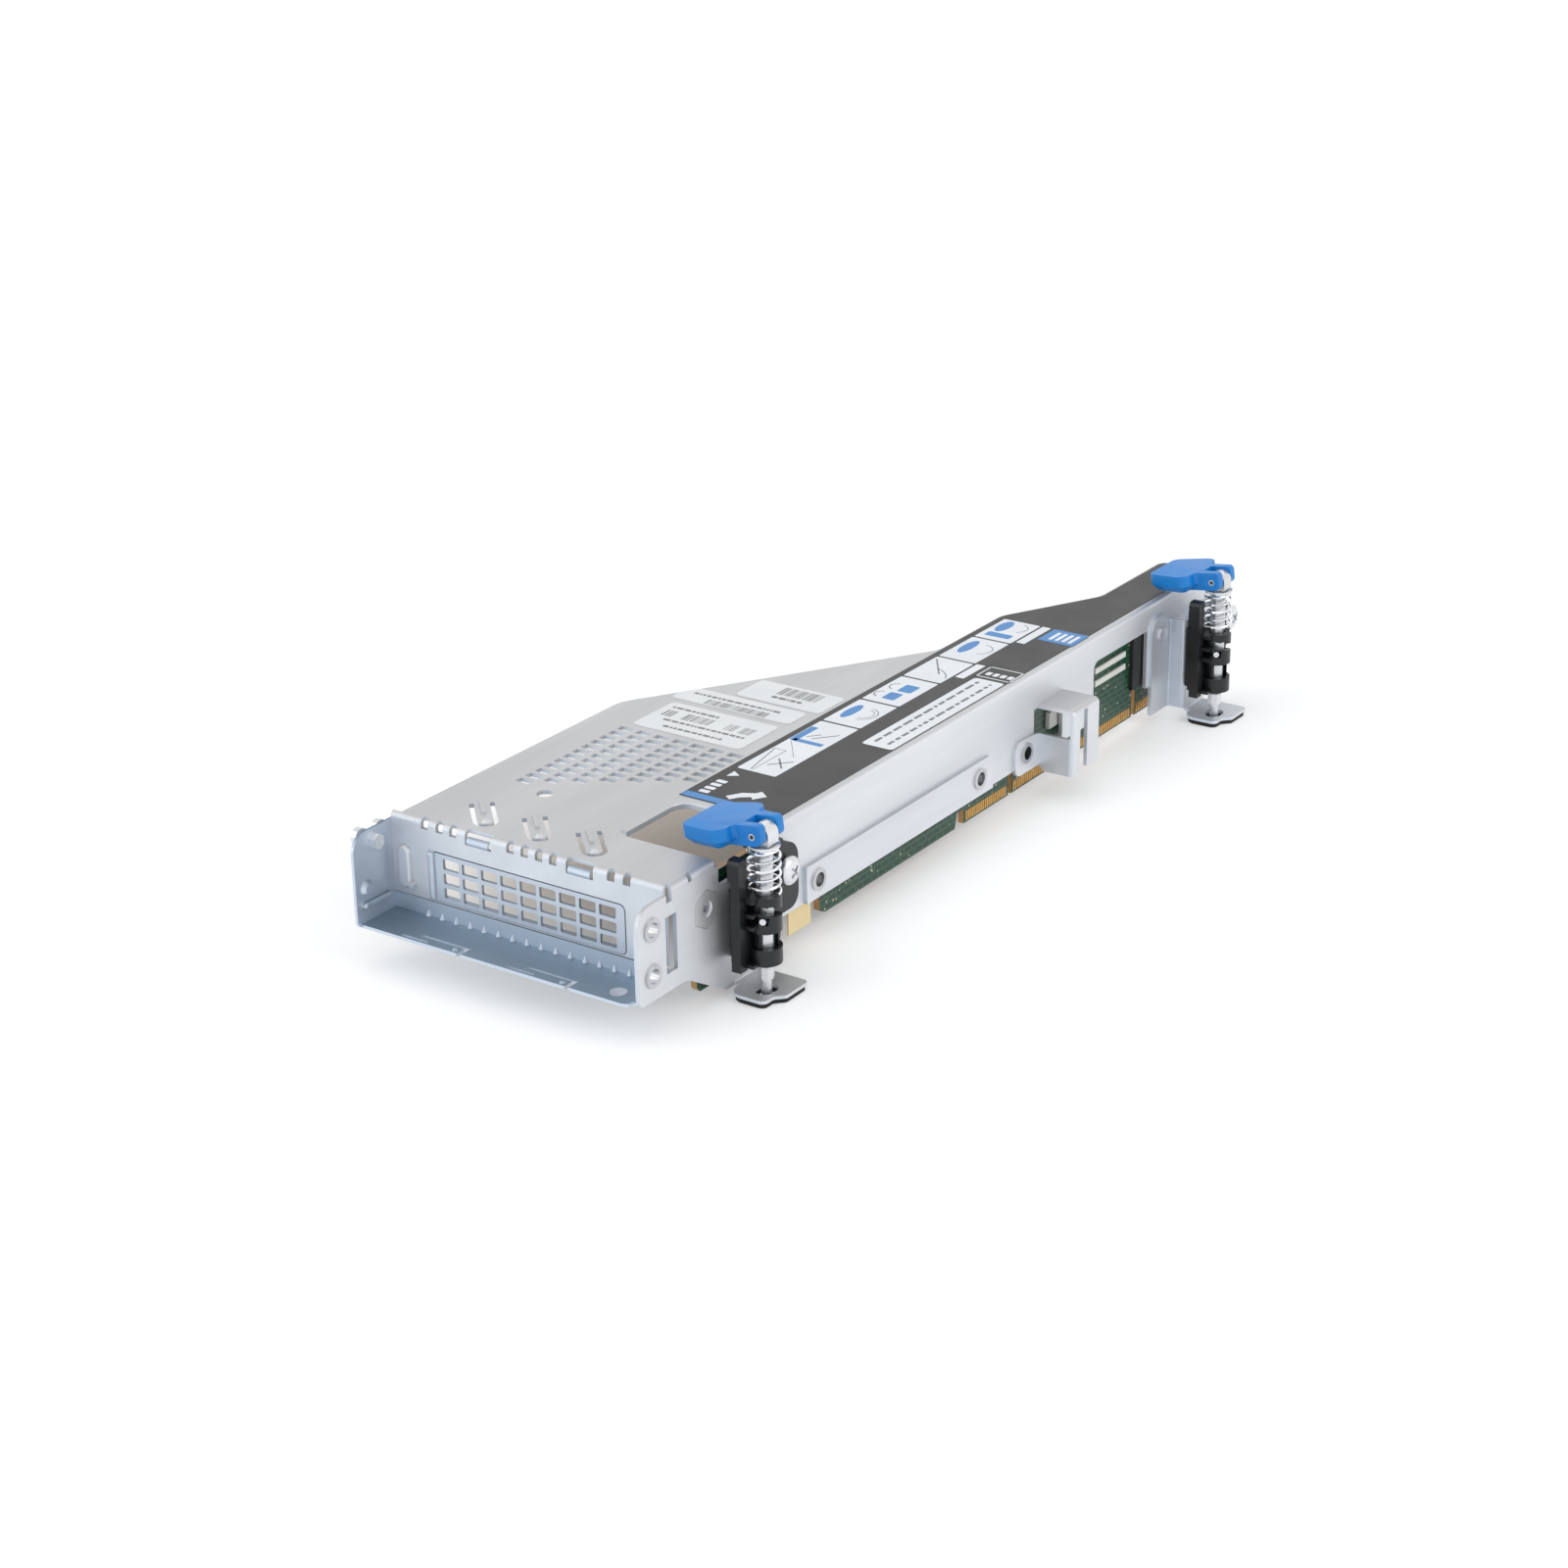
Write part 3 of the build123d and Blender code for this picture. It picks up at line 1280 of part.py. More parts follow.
def all_nodes():
    """Every node by name, each a list of solids."""
    nodes = {
        "main_cage": [main_cage()],
        "io_frame": [io_frame()],
        "slot_cover": [slot_cover()],
        "gasket_clips": gasket_clips(),
        "side_strip": [side_strip()],
        "far_bracket": [far_bracket()],
        "foot_pads": foot_pads(),
        "riser_board": [riser_board()],
        "edge_contacts": edge_contacts(),
        "slot_connector": [slot_connector()],
        "board_header": [board_header()],
        "board_parts": board_parts(),
        "insulator_tab": [insulator_tab()],
        "label": [label()],
        "stickers": stickers(),
    }
    nodes.update(fasteners())
    nodes.update(latch_nodes())
    return nodes


def main():
    """Build all nodes, set the origin under the middle of the part and write the files."""
    nodes = all_nodes()
    solids = [solid for group in nodes.values() for piece in group for solid in piece.solids()]
    bounds = Compound(solids).bounding_box()
    shift = Pos(-bounds.center().X, -bounds.center().Y, -bounds.min.Z)
    print("origin", [round(v, 4) for v in (bounds.center().X, bounds.center().Y, bounds.min.Z)])
    print("size", [round(v, 3) for v in (bounds.size.X, bounds.size.Y, bounds.size.Z)])
    for name, group in nodes.items():
        pieces = [solid for piece in group for solid in piece.solids()]
        shape = shift * Compound(pieces) if len(pieces) > 1 else shift * pieces[0]
        export_step(shape, f"parts/{name}.step")


main()
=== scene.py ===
import bpy
import bmesh
import math
import random
from mathutils import Matrix, Vector


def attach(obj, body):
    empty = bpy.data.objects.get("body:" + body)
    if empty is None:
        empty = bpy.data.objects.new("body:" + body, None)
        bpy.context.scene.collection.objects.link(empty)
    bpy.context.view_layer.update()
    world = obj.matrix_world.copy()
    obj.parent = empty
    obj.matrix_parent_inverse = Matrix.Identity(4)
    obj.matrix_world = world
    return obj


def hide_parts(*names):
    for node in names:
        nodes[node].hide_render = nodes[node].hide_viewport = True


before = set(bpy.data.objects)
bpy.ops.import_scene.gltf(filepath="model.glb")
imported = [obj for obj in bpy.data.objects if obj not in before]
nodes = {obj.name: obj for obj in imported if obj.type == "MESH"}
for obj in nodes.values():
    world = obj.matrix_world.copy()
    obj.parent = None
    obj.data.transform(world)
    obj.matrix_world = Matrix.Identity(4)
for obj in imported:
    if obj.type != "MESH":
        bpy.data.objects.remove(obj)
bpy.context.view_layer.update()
print("frame loaded:", len(nodes), "nodes")


# Colours are written as they look on screen, 0 to 255
def tone(red, green, blue):
    def linear(value):
        value = value / 255
        return value / 12.92 if value <= 0.04045 else ((value + 0.055) / 1.055) ** 2.4
    return (linear(red), linear(green), linear(blue), 1.0)


# Drawing sizes are in mm from the left front corner of the cage and its shelf
def drawn(x, y, z):
    return Vector(((x - 49.0) / 1000, (y - 131.5) / 1000, (z + 10.0) / 1000))


# ---- camera, at the photograph's viewing angle
cameraSettings = {
    "place": (0.40514, -0.61033, 0.31481),
    "azimuth": 34.922,
    "elevation": 22.559,
    "roll": -0.995,
    "lens": 71.88,
    "sensor": 36.0,
}


def makeCamera(settings):
    azimuth = math.radians(settings["azimuth"])
    elevation = math.radians(settings["elevation"])
    roll = math.radians(settings["roll"])
    back = Vector((math.sin(azimuth) * math.cos(elevation), -math.cos(azimuth) * math.cos(elevation),
                   math.sin(elevation)))
    right = Vector((math.cos(azimuth), math.sin(azimuth), 0))
    up = back.cross(right)
    rolledRight = right * math.cos(roll) + up * math.sin(roll)
    rolledUp = up * math.cos(roll) - right * math.sin(roll)
    data = bpy.data.cameras.new("studioCamera")
    data.lens = settings["lens"]
    data.sensor_width = settings["sensor"]
    data.clip_start = 0.01
    data.clip_end = 50
    camera = bpy.data.objects.new("studioCamera", data)
    bpy.context.scene.collection.objects.link(camera)
    turn = Matrix((rolledRight, rolledUp, back)).transposed().to_4x4()
    camera.matrix_world = Matrix.Translation(settings["place"]) @ turn
    bpy.context.scene.camera = camera


makeCamera(cameraSettings)
print("camera set")


# ---- small helpers for node materials
def startMaterial(name):
    material = bpy.data.materials.new(name)
    material.use_nodes = True
    tree = material.node_tree
    return material, tree, tree.nodes["Principled BSDF"]


def addNode(tree, kind, **values):
    node = tree.nodes.new(kind)
    for key, value in values.items():
        if key in node.inputs:
            node.inputs[key].default_value = value
        else:
            setattr(node, key, value)
    return node


def stretchedNoise(tree, scale, stretch, detail=4.0, roughness=0.55):
    place = addNode(tree, "ShaderNodeTexCoord")
    mapping = addNode(tree, "ShaderNodeMapping")
    mapping.inputs["Scale"].default_value = stretch
    noise = addNode(tree, "ShaderNodeTexNoise", Scale=scale, Detail=detail, Roughness=roughness)
    tree.links.new(place.outputs["Object"], mapping.inputs["Vector"])
    tree.links.new(mapping.outputs[0], noise.inputs["Vector"])
    return noise.outputs["Fac"]


def spread(tree, value, low, high, start=0.3, end=0.7):
    node = addNode(tree, "ShaderNodeMapRange")
    node.inputs["From Min"].default_value = start
    node.inputs["From Max"].default_value = end
    node.inputs["To Min"].default_value = low
    node.inputs["To Max"].default_value = high
    tree.links.new(value, node.inputs["Value"])
    return node.outputs[0]


def blendColours(tree, factor, first, second):
    node = addNode(tree, "ShaderNodeMix", data_type="RGBA")
    tree.links.new(factor, node.inputs[0])
    for socket, colour in ((node.inputs[6], first), (node.inputs[7], second)):
        if isinstance(colour, tuple):
            socket.default_value = colour
        else:
            tree.links.new(colour, socket)
    return node.outputs[2]


def addBump(tree, shader, height, strength, distance):
    bump = addNode(tree, "ShaderNodeBump")
    bump.inputs["Strength"].default_value = strength
    bump.inputs["Distance"].default_value = distance
    tree.links.new(height, bump.inputs["Height"])
    tree.links.new(bump.outputs[0], shader.inputs["Normal"])


# 1 inside a box of the floor, falling to 0 over a soft edge
def nearBox(tree, box, edge):
    place = addNode(tree, "ShaderNodeTexCoord")
    split = addNode(tree, "ShaderNodeSeparateXYZ")
    tree.links.new(place.outputs["Object"], split.inputs[0])
    both = addNode(tree, "ShaderNodeMath", operation="MULTIPLY")
    for axis, (low, high) in enumerate(box):
        away = addNode(tree, "ShaderNodeMath", operation="SUBTRACT")
        away.inputs[1].default_value = (low + high) / 2
        tree.links.new(split.outputs[axis], away.inputs[0])
        far = addNode(tree, "ShaderNodeMath", operation="ABSOLUTE")
        tree.links.new(away.outputs[0], far.inputs[0])
        half = (high - low) / 2
        tree.links.new(spread(tree, far.outputs[0], 1, 0, half - edge, half + edge), both.inputs[axis])
    return both.outputs[0]


# 1 where the camera looks straight on, or sees it mirrored or through glass
def seenRays(tree):
    path = addNode(tree, "ShaderNodeLightPath")
    first = addNode(tree, "ShaderNodeMath", operation="ADD")
    tree.links.new(path.outputs["Is Camera Ray"], first.inputs[0])
    tree.links.new(path.outputs["Is Glossy Ray"], first.inputs[1])
    both = addNode(tree, "ShaderNodeMath", operation="ADD", use_clamp=True)
    tree.links.new(first.outputs[0], both.inputs[0])
    tree.links.new(path.outputs["Is Transmission Ray"], both.inputs[1])
    return both.outputs[0]


# ---- floor, world and lamps
studioSettings = {
    "floorSize": 6.0,
    "floorColour": tone(240, 240, 240),
    "floorPaintedShade": tone(198, 188, 178),  # painted shade: the floor's colour where the cage shades it
    "floorRoughness": 0.8,
    "floorGloss": 0.1,
    "floorLift": 0.22,  # light of its own where it is seen, so that the lit floor reads as white
    "farLift": 0.42,  # the same far out, where the lamps fall off
    "lamplit": ((-1.2, 1.2), (-1.2, 1.2)),  # where the lamps reach
    "lamplitEdge": 1.0,
    "shade": ((-0.064, 0.012), (-0.094, 0.016)),  # the floor under the cage, painted in the shade colour and given no lift
    "shadeEdge": 0.022,
    "worldStrength": 0.76,
    "worldColour": (0.97, 0.985, 1.0, 1.0),
    "lamps": [
        # name, place, target, width, height, power, colour
        ("topLamp", (0.1, -0.1, 1.3), (0, 0, 0), 1.1, 1.1, 1.5, (1.0, 1.0, 1.0)),
        ("keyLamp", (-0.6, -0.8, 0.95), (0, 0, 0), 0.8, 0.8, 2.6, (1.0, 0.99, 0.97)),
        ("sideLamp", (1.3, 0.1, 0.75), (0, 0, 0.02), 0.8, 0.8, 4.2, (1.0, 1.0, 1.0)),
        ("coolLamp", (-0.7, -1.2, 0.22), (0, -0.1, 0.02), 0.9, 0.35, 1.3, (0.75, 0.88, 1.0)),
        ("backLamp", (-0.3, 1.4, 0.9), (0, 0, 0.02), 1.4, 0.5, 0.9, (1.0, 1.0, 1.0)),
    ],
}


def makeFloor(settings):
    size = settings["floorSize"]
    mesh = bpy.data.meshes.new("studioFloor")
    corners = [(-size, -size, 0), (size, -size, 0), (size, size, 0), (-size, size, 0)]
    mesh.from_pydata(corners, [], [(0, 1, 2, 3)])
    floor = bpy.data.objects.new("studioFloor", mesh)
    bpy.context.scene.collection.objects.link(floor)
    floorPaint, tree, shader = startMaterial("floorPaint")
    # painted shade: inside the box under the cage the floor takes the darker shade colour and loses its lift
    under = nearBox(tree, settings["shade"], settings["shadeEdge"])
    tree.links.new(blendColours(tree, under, settings["floorColour"], settings["floorPaintedShade"]),
                   shader.inputs["Base Color"])
    shader.inputs["Roughness"].default_value = settings["floorRoughness"]
    shader.inputs["Specular IOR Level"].default_value = settings["floorGloss"]
    close = nearBox(tree, settings["lamplit"], settings["lamplitEdge"])
    rise = addNode(tree, "ShaderNodeMath", operation="MULTIPLY")
    tree.links.new(spread(tree, under, 1, 0, 0, 1), rise.inputs[0])
    tree.links.new(spread(tree, close, settings["farLift"], settings["floorLift"], 0, 1), rise.inputs[1])
    amount = addNode(tree, "ShaderNodeMath", operation="MULTIPLY")
    tree.links.new(seenRays(tree), amount.inputs[0])
    tree.links.new(rise.outputs[0], amount.inputs[1])
    lift = addNode(tree, "ShaderNodeEmission", Color=(1, 1, 1, 1))
    tree.links.new(amount.outputs[0], lift.inputs["Strength"])
    both = addNode(tree, "ShaderNodeAddShader")
    tree.links.new(shader.outputs[0], both.inputs[0])
    tree.links.new(lift.outputs[0], both.inputs[1])
    tree.links.new(both.outputs[0], tree.nodes["Material Output"].inputs["Surface"])
    mesh.materials.append(floorPaint)


def makeWorld(settings):
    world = bpy.data.worlds.new("studioWorld")
    bpy.context.scene.world = world
    world.use_nodes = True
    tree = world.node_tree
    tree.nodes.clear()
    light = addNode(tree, "ShaderNodeBackground", Color=settings["worldColour"],
                    Strength=settings["worldStrength"])
    white = addNode(tree, "ShaderNodeBackground", Color=(1, 1, 1, 1))
    mix = addNode(tree, "ShaderNodeMixShader")
    output = addNode(tree, "ShaderNodeOutputWorld")
    tree.links.new(seenRays(tree), mix.inputs[0])
    tree.links.new(light.outputs[0], mix.inputs[1])
    tree.links.new(white.outputs[0], mix.inputs[2])
    tree.links.new(mix.outputs[0], output.inputs[0])


def makeLamps(settings):
    for name, place, target, width, height, power, colour in settings["lamps"]:
        data = bpy.data.lights.new(name, "AREA")
        data.shape = "RECTANGLE"
        data.size = width
        data.size_y = height
        data.energy = power
        data.color = colour
        lamp = bpy.data.objects.new(name, data)
        bpy.context.scene.collection.objects.link(lamp)
        lamp.location = place
        lamp.rotation_euler = (Vector(target) - Vector(place)).to_track_quat("-Z", "Y").to_euler()


makeFloor(studioSettings)
makeWorld(studioSettings)
makeLamps(studioSettings)
bpy.context.scene.view_settings.view_transform = "Standard"
print("studio set")


# ---- metals: a cloudy plating, a fine grain along one way; upper, front and side faces take their own tones, painted light and shade for how the lamps fall on each facing
metalSettings = {
    # up, front and side are painted light and shade: the tone each facing takes under these lamps
    "cageSheet": {
        "up": tone(196, 197, 199), "front": tone(216, 222, 230), "side": tone(228, 230, 234),
        "metallic": 0.64, "roughness": (0.38, 0.5), "cloud": (0.88, 1.02), "streak": (1.0, 0.12, 1.0),
        "grain": (1300, (1.0, 0.03, 1.0)), "bump": 0.05, "lift": 0.00002,
    },
    "frameSheet": {
        "up": tone(136, 153, 169), "front": tone(208, 220, 234), "side": tone(208, 218, 230),
        "metallic": 0.68, "roughness": (0.32, 0.44), "cloud": (0.84, 1.04), "streak": (0.12, 1.0, 1.0),
        "grain": (1300, (0.03, 1.0, 1.0)), "bump": 0.05, "lift": 0.00002,
    },
    "bracketSheet": {
        "up": tone(198, 202, 208), "front": tone(218, 228, 240), "side": tone(228, 230, 235),
        "metallic": 0.66, "roughness": (0.36, 0.48), "cloud": (0.88, 1.02), "streak": (1.0, 0.15, 1.0),
        "grain": (1300, (1.0, 0.03, 1.0)), "bump": 0.05, "lift": 0.00002,
    },
    "coverSheet": {
        "up": tone(166, 178, 191), "front": tone(202, 212, 225), "side": tone(204, 212, 222),
        "metallic": 0.68, "roughness": (0.34, 0.4), "cloud": (0.9, 1.02), "streak": (0.12, 1.0, 1.0),
        "grain": (900, (0.03, 1.0, 1.0)), "bump": 0.02, "lift": 0.00001,
    },
    "flushSteel": {
        "up": tone(214, 213, 221), "front": tone(222, 226, 233), "side": tone(240, 241, 243),
        "metallic": 0.7, "roughness": (0.28, 0.36), "cloud": (0.92, 1.0), "streak": (1.0, 1.0, 1.0),
        "grain": (900, (1.0, 1.0, 1.0)), "bump": 0.02, "lift": 0.00001,
    },
    "turnedSteel": {
        "up": tone(222, 223, 224), "front": tone(226, 229, 234), "side": tone(234, 235, 237),
        "metallic": 0.86, "roughness": (0.2, 0.3), "cloud": (0.86, 1.0), "streak": (1.0, 1.0, 1.0),
        "grain": (1500, (1.0, 1.0, 0.06)), "bump": 0.06, "lift": 0.00002,
    },
    "castSteel": {
        "up": tone(226, 226, 227), "front": tone(224, 226, 230), "side": tone(230, 231, 233),
        "metallic": 0.84, "roughness": (0.22, 0.36), "cloud": (0.78, 1.0), "streak": (1.0, 1.0, 1.0),
        "grain": (1700, (1.0, 1.0, 1.0)), "bump": 0.3, "lift": 0.00008,
    },
    "springWire": {
        "up": tone(240, 242, 245), "front": tone(238, 241, 246), "side": tone(242, 244, 247),
        "metallic": 0.92, "roughness": (0.12, 0.18), "cloud": (0.94, 1.0), "streak": (1.0, 1.0, 1.0),
        "grain": (2200, (1.0, 1.0, 1.0)), "bump": 0.03, "lift": 0.00001,
    },
}
metalShading = {
    "front": (-0.8, -0.3),  # how far a face turns to the front, or up, to take that painted light tone
    "up": (0.3, 0.8),
    "cloudScale": 70,
}


def makeMetal(name, settings):
    material, tree, shader = startMaterial(name)
    scale, stretch = settings["grain"]
    cloud = stretchedNoise(tree, metalShading["cloudScale"], settings["streak"], detail=4)
    grain = stretchedNoise(tree, scale, stretch, detail=3)
    place = addNode(tree, "ShaderNodeTexCoord")
    facing = addNode(tree, "ShaderNodeSeparateXYZ")
    tree.links.new(place.outputs["Normal"], facing.inputs[0])
    # painted light and shade: the colour turns lighter or darker with the way the face looks
    front = spread(tree, facing.outputs["Y"], 1, 0, *metalShading["front"])
    colour = blendColours(tree, front, settings["side"], settings["front"])
    up = spread(tree, facing.outputs["Z"], 0, 1, *metalShading["up"])
    colour = blendColours(tree, up, colour, settings["up"])
    shaded = addNode(tree, "ShaderNodeHueSaturation")
    tree.links.new(colour, shaded.inputs["Color"])
    tree.links.new(spread(tree, cloud, *settings["cloud"]), shaded.inputs["Value"])
    tree.links.new(shaded.outputs[0], shader.inputs["Base Color"])
    low, high = settings["roughness"]
    tree.links.new(spread(tree, grain, low, high), shader.inputs["Roughness"])
    shader.inputs["Metallic"].default_value = settings["metallic"]
    addBump(tree, shader, grain, settings["bump"], settings["lift"])
    return material


metals = {name: makeMetal(name, settings) for name, settings in metalSettings.items()}


# ---- threaded bores: the metal with rings along the bore
threadSettings = {
    "pitch": 0.00079,
    "bands": 20,  # rings that a wave texture of scale 1 draws in a unit
    "depth": 0.00025,
    "strength": 0.8,
    "colour": tone(206, 207, 209),
    "dark": 0.7,  # share of the colour
    "cloudScale": 500,
    "cloud": (0.4, 1),
    "metallic": 0.95,
    "roughness": 0.24,
}


def makeThread(settings):
    material, tree, shader = startMaterial("threadedSteel")
    place = addNode(tree, "ShaderNodeTexCoord")
    wave = addNode(tree, "ShaderNodeTexWave", bands_direction="X")
    wave.inputs["Scale"].default_value = 1 / (settings["pitch"] * settings["bands"])
    tree.links.new(place.outputs["Object"], wave.inputs["Vector"])
    cloud = stretchedNoise(tree, settings["cloudScale"], (1, 1, 1), detail=2)
    dark = tuple(value * settings["dark"] for value in settings["colour"][:3]) + (1.0,)
    tree.links.new(blendColours(tree, spread(tree, cloud, *settings["cloud"]), dark, settings["colour"]),
                   shader.inputs["Base Color"])
    shader.inputs["Metallic"].default_value = settings["metallic"]
    shader.inputs["Roughness"].default_value = settings["roughness"]
    addBump(tree, shader, wave.outputs["Fac"], settings["strength"], settings["depth"])
    return material


metals["threadedSteel"] = makeThread(threadSettings)
print("metals made")


# ---- moulded plastics, film and paper
plasticSettings = {
    "handleBlue": {"light": tone(0, 128, 208), "dark": tone(0, 118, 200),
                   "roughness": (0.34, 0.44), "bump": 0.1},
    "carrierBlack": {"light": tone(22, 24, 28), "dark": tone(13, 15, 19),
                     "roughness": (0.3, 0.42), "bump": 0.1},
    "socketBlack": {"light": tone(40, 40, 42), "dark": tone(26, 26, 28),
                    "roughness": (0.4, 0.55), "bump": 0.1},
    "padRubber": {"light": tone(34, 33, 34), "dark": tone(22, 22, 23),
                  "roughness": (0.7, 0.85), "bump": 0.2},
    "partWhite": {"light": tone(232, 231, 224), "dark": tone(216, 214, 206),
                  "roughness": (0.45, 0.6), "bump": 0.1},
    "filmAmber": {"light": tone(246, 226, 176), "dark": tone(240, 214, 156),
                  "roughness": (0.25, 0.35), "bump": 0.05},
    "stickerPaper": {"light": tone(228, 230, 231), "dark": tone(219, 222, 224),
                     "roughness": (0.45, 0.6), "bump": 0.05},
    "labelFilm": {"light": tone(48, 48, 49), "dark": tone(40, 40, 42),
                  "roughness": (0.44, 0.54), "bump": 0.06},
    "inkWhite": {"light": tone(232, 235, 239), "dark": tone(222, 226, 231),
                 "roughness": (0.4, 0.5), "bump": 0.04},
    "inkBlue": {"light": tone(72, 138, 200), "dark": tone(58, 124, 190),
                "roughness": (0.4, 0.5), "bump": 0.04},
    "inkGrey": {"light": tone(126, 128, 130), "dark": tone(104, 106, 108),
                "roughness": (0.4, 0.5), "bump": 0.04},
}
plasticGrain = {"cloudScale": 90, "grainScale": 3500, "depth": 0.00005}


def makePlastic(name, settings):
    material, tree, shader = startMaterial(name)
    cloud = stretchedNoise(tree, plasticGrain["cloudScale"], (1, 1, 1), detail=3)
    grain = stretchedNoise(tree, plasticGrain["grainScale"], (1, 1, 1), detail=2)
    tree.links.new(blendColours(tree, spread(tree, cloud, 0, 1), settings["dark"], settings["light"]),
                   shader.inputs["Base Color"])
    low, high = settings["roughness"]
    tree.links.new(spread(tree, cloud, low, high), shader.inputs["Roughness"])
    addBump(tree, shader, grain, settings["bump"], plasticGrain["depth"])
    return material


plastics = {name: makePlastic(name, settings) for name, settings in plasticSettings.items()}
print("plastics made")


# ---- circuit board: green faces with traces and tinned dots, tan cut edges
boardSettings = {
    "mask": tone(18, 62, 44),
    "maskDark": tone(10, 46, 32),
    "trace": tone(40, 84, 60),
    "dot": tone(196, 190, 160),
    "edge": tone(206, 160, 104),
    "edgeDark": tone(176, 130, 80),
    "gold": tone(232, 184, 112),
    "goldDark": tone(208, 154, 84),
    "traceScale": 150,
    "traceWidth": 0.05,
    "traceBump": (0.1, 0.00002),
    "dotScale": 420,
    "dotEdge": (0.1, 0.16),
    "cloudScale": 120,
    "faceFrom": 0.6,  # how far a face turns to X to be green and not a cut edge
    "roughness": 0.32,
    "goldCloud": 700,
    "goldRoughness": (0.24, 0.36),
    "goldMetallic": 0.9,
}


def makeBoard(settings):
    material, tree, shader = startMaterial("boardMask")
    place = addNode(tree, "ShaderNodeTexCoord")
    split = addNode(tree, "ShaderNodeSeparateXYZ")
    tree.links.new(place.outputs["Object"], split.inputs[0])
    flat = addNode(tree, "ShaderNodeCombineXYZ")
    tree.links.new(split.outputs["Y"], flat.inputs["X"])
    tree.links.new(split.outputs["Z"], flat.inputs["Y"])
    brick = addNode(tree, "ShaderNodeTexBrick")
    brick.inputs["Scale"].default_value = settings["traceScale"]
    brick.inputs["Mortar Size"].default_value = settings["traceWidth"]
    tree.links.new(flat.outputs[0], brick.inputs["Vector"])
    dots = addNode(tree, "ShaderNodeTexVoronoi", feature="F1")
    dots.inputs["Scale"].default_value = settings["dotScale"]
    tree.links.new(flat.outputs[0], dots.inputs["Vector"])
    cloud = stretchedNoise(tree, settings["cloudScale"], (1, 1, 1))
    mask = blendColours(tree, spread(tree, cloud, 0, 1), settings["maskDark"], settings["mask"])
    face = blendColours(tree, brick.outputs["Fac"], mask, settings["trace"])
    onDot = spread(tree, dots.outputs["Distance"], 1, 0, *settings["dotEdge"])
    face = blendColours(tree, onDot, face, settings["dot"])
    edge = blendColours(tree, spread(tree, cloud, 0, 1), settings["edgeDark"], settings["edge"])
    normal = addNode(tree, "ShaderNodeSeparateXYZ")
    tree.links.new(place.outputs["Normal"], normal.inputs[0])
    side = addNode(tree, "ShaderNodeMath", operation="ABSOLUTE")
    tree.links.new(normal.outputs["X"], side.inputs[0])
    onFace = addNode(tree, "ShaderNodeMath", operation="GREATER_THAN")
    onFace.inputs[1].default_value = settings["faceFrom"]
    tree.links.new(side.outputs[0], onFace.inputs[0])
    tree.links.new(blendColours(tree, onFace.outputs[0], edge, face), shader.inputs["Base Color"])
    shader.inputs["Roughness"].default_value = settings["roughness"]
    addBump(tree, shader, brick.outputs["Fac"], *settings["traceBump"])
    return material


def makeGold(settings):
    material, tree, shader = startMaterial("contactGold")
    cloud = stretchedNoise(tree, settings["goldCloud"], (1, 1, 1))
    tree.links.new(blendColours(tree, spread(tree, cloud, 0, 1), settings["goldDark"], settings["gold"]),
                   shader.inputs["Base Color"])
    tree.links.new(spread(tree, cloud, *settings["goldRoughness"]), shader.inputs["Roughness"])
    shader.inputs["Metallic"].default_value = settings["goldMetallic"]
    return material


boardMask = makeBoard(boardSettings)
contactGold = makeGold(boardSettings)
print("board materials made")


# ---- finishes of the pieces that keep their own shapes
finishOf = {
    "main_cage": metals["cageSheet"], "io_frame": metals["frameSheet"],
    "side_strip": metals["bracketSheet"], "far_bracket": metals["bracketSheet"],
    "slot_cover": metals["coverSheet"], "gasket_clips": metals["coverSheet"],
    "wall_nuts": metals["threadedSteel"], "strip_nuts": metals["threadedSteel"],
    "hook_nut": metals["threadedSteel"],
    "hex_insert": metals["flushSteel"], "hex_stud": metals["flushSteel"], "shelf_disc": metals["flushSteel"],
    "riser_board": boardMask, "edge_contacts": contactGold,
    "slot_connector": plastics["socketBlack"], "board_header": plastics["socketBlack"],
    "board_parts": plastics["partWhite"], "insulator_tab": plastics["filmAmber"],
    "label": plastics["labelFilm"], "stickers": plastics["stickerPaper"], "foot_pads": plastics["padRubber"],
}
latchFinish = {
    "carrier": plastics["carrierBlack"], "shaft": metals["castSteel"], "cross_pin": metals["turnedSteel"],
    "washer": metals["turnedSteel"], "spring": metals["springWire"], "handle": plastics["handleBlue"],
    "handle_pin": metals["turnedSteel"],
}
for end in ("near", "far"):
    for piece, finish in latchFinish.items():
        finishOf[end + "_" + piece] = finish


def giveFinish(piece, finish):
    if not piece.data.materials:
        piece.data.materials.append(finish)
    for place in range(len(piece.material_slots)):
        piece.material_slots[place].material = finish


for name, node in nodes.items():
    giveFinish(node, finishOf.get(name, metals["turnedSteel"]))
print("finishes given to", len(nodes), "nodes")


# ---- small helpers for meshes
def linkedMesh(name, mesh):
    data = bpy.data.meshes.new(name)
    mesh.to_mesh(data)
    mesh.free()
    piece = bpy.data.objects.new(name, data)
    bpy.context.scene.collection.objects.link(piece)
    return piece


def applyModifiers(piece, finish):
    graph = bpy.context.evaluated_depsgraph_get()
    finished = bpy.data.meshes.new_from_object(piece.evaluated_get(graph))
    piece.modifiers.clear()
    piece.data = finished
    finished.materials.clear()
    finished.materials.append(finish)


# ---- printed film: thin closed shapes that lie on the label or on a sticker
def addShape(mesh, corners, low, high):
    below = [mesh.verts.new(drawn(x, y, low)) for x, y in corners]
    above = [mesh.verts.new(drawn(x, y, high)) for x, y in corners]
    mesh.faces.new(list(reversed(below)))
    mesh.faces.new(above)
    for place in range(len(corners)):
        after = (place + 1) % len(corners)
        mesh.faces.new((below[place], below[after], above[after], above[place]))


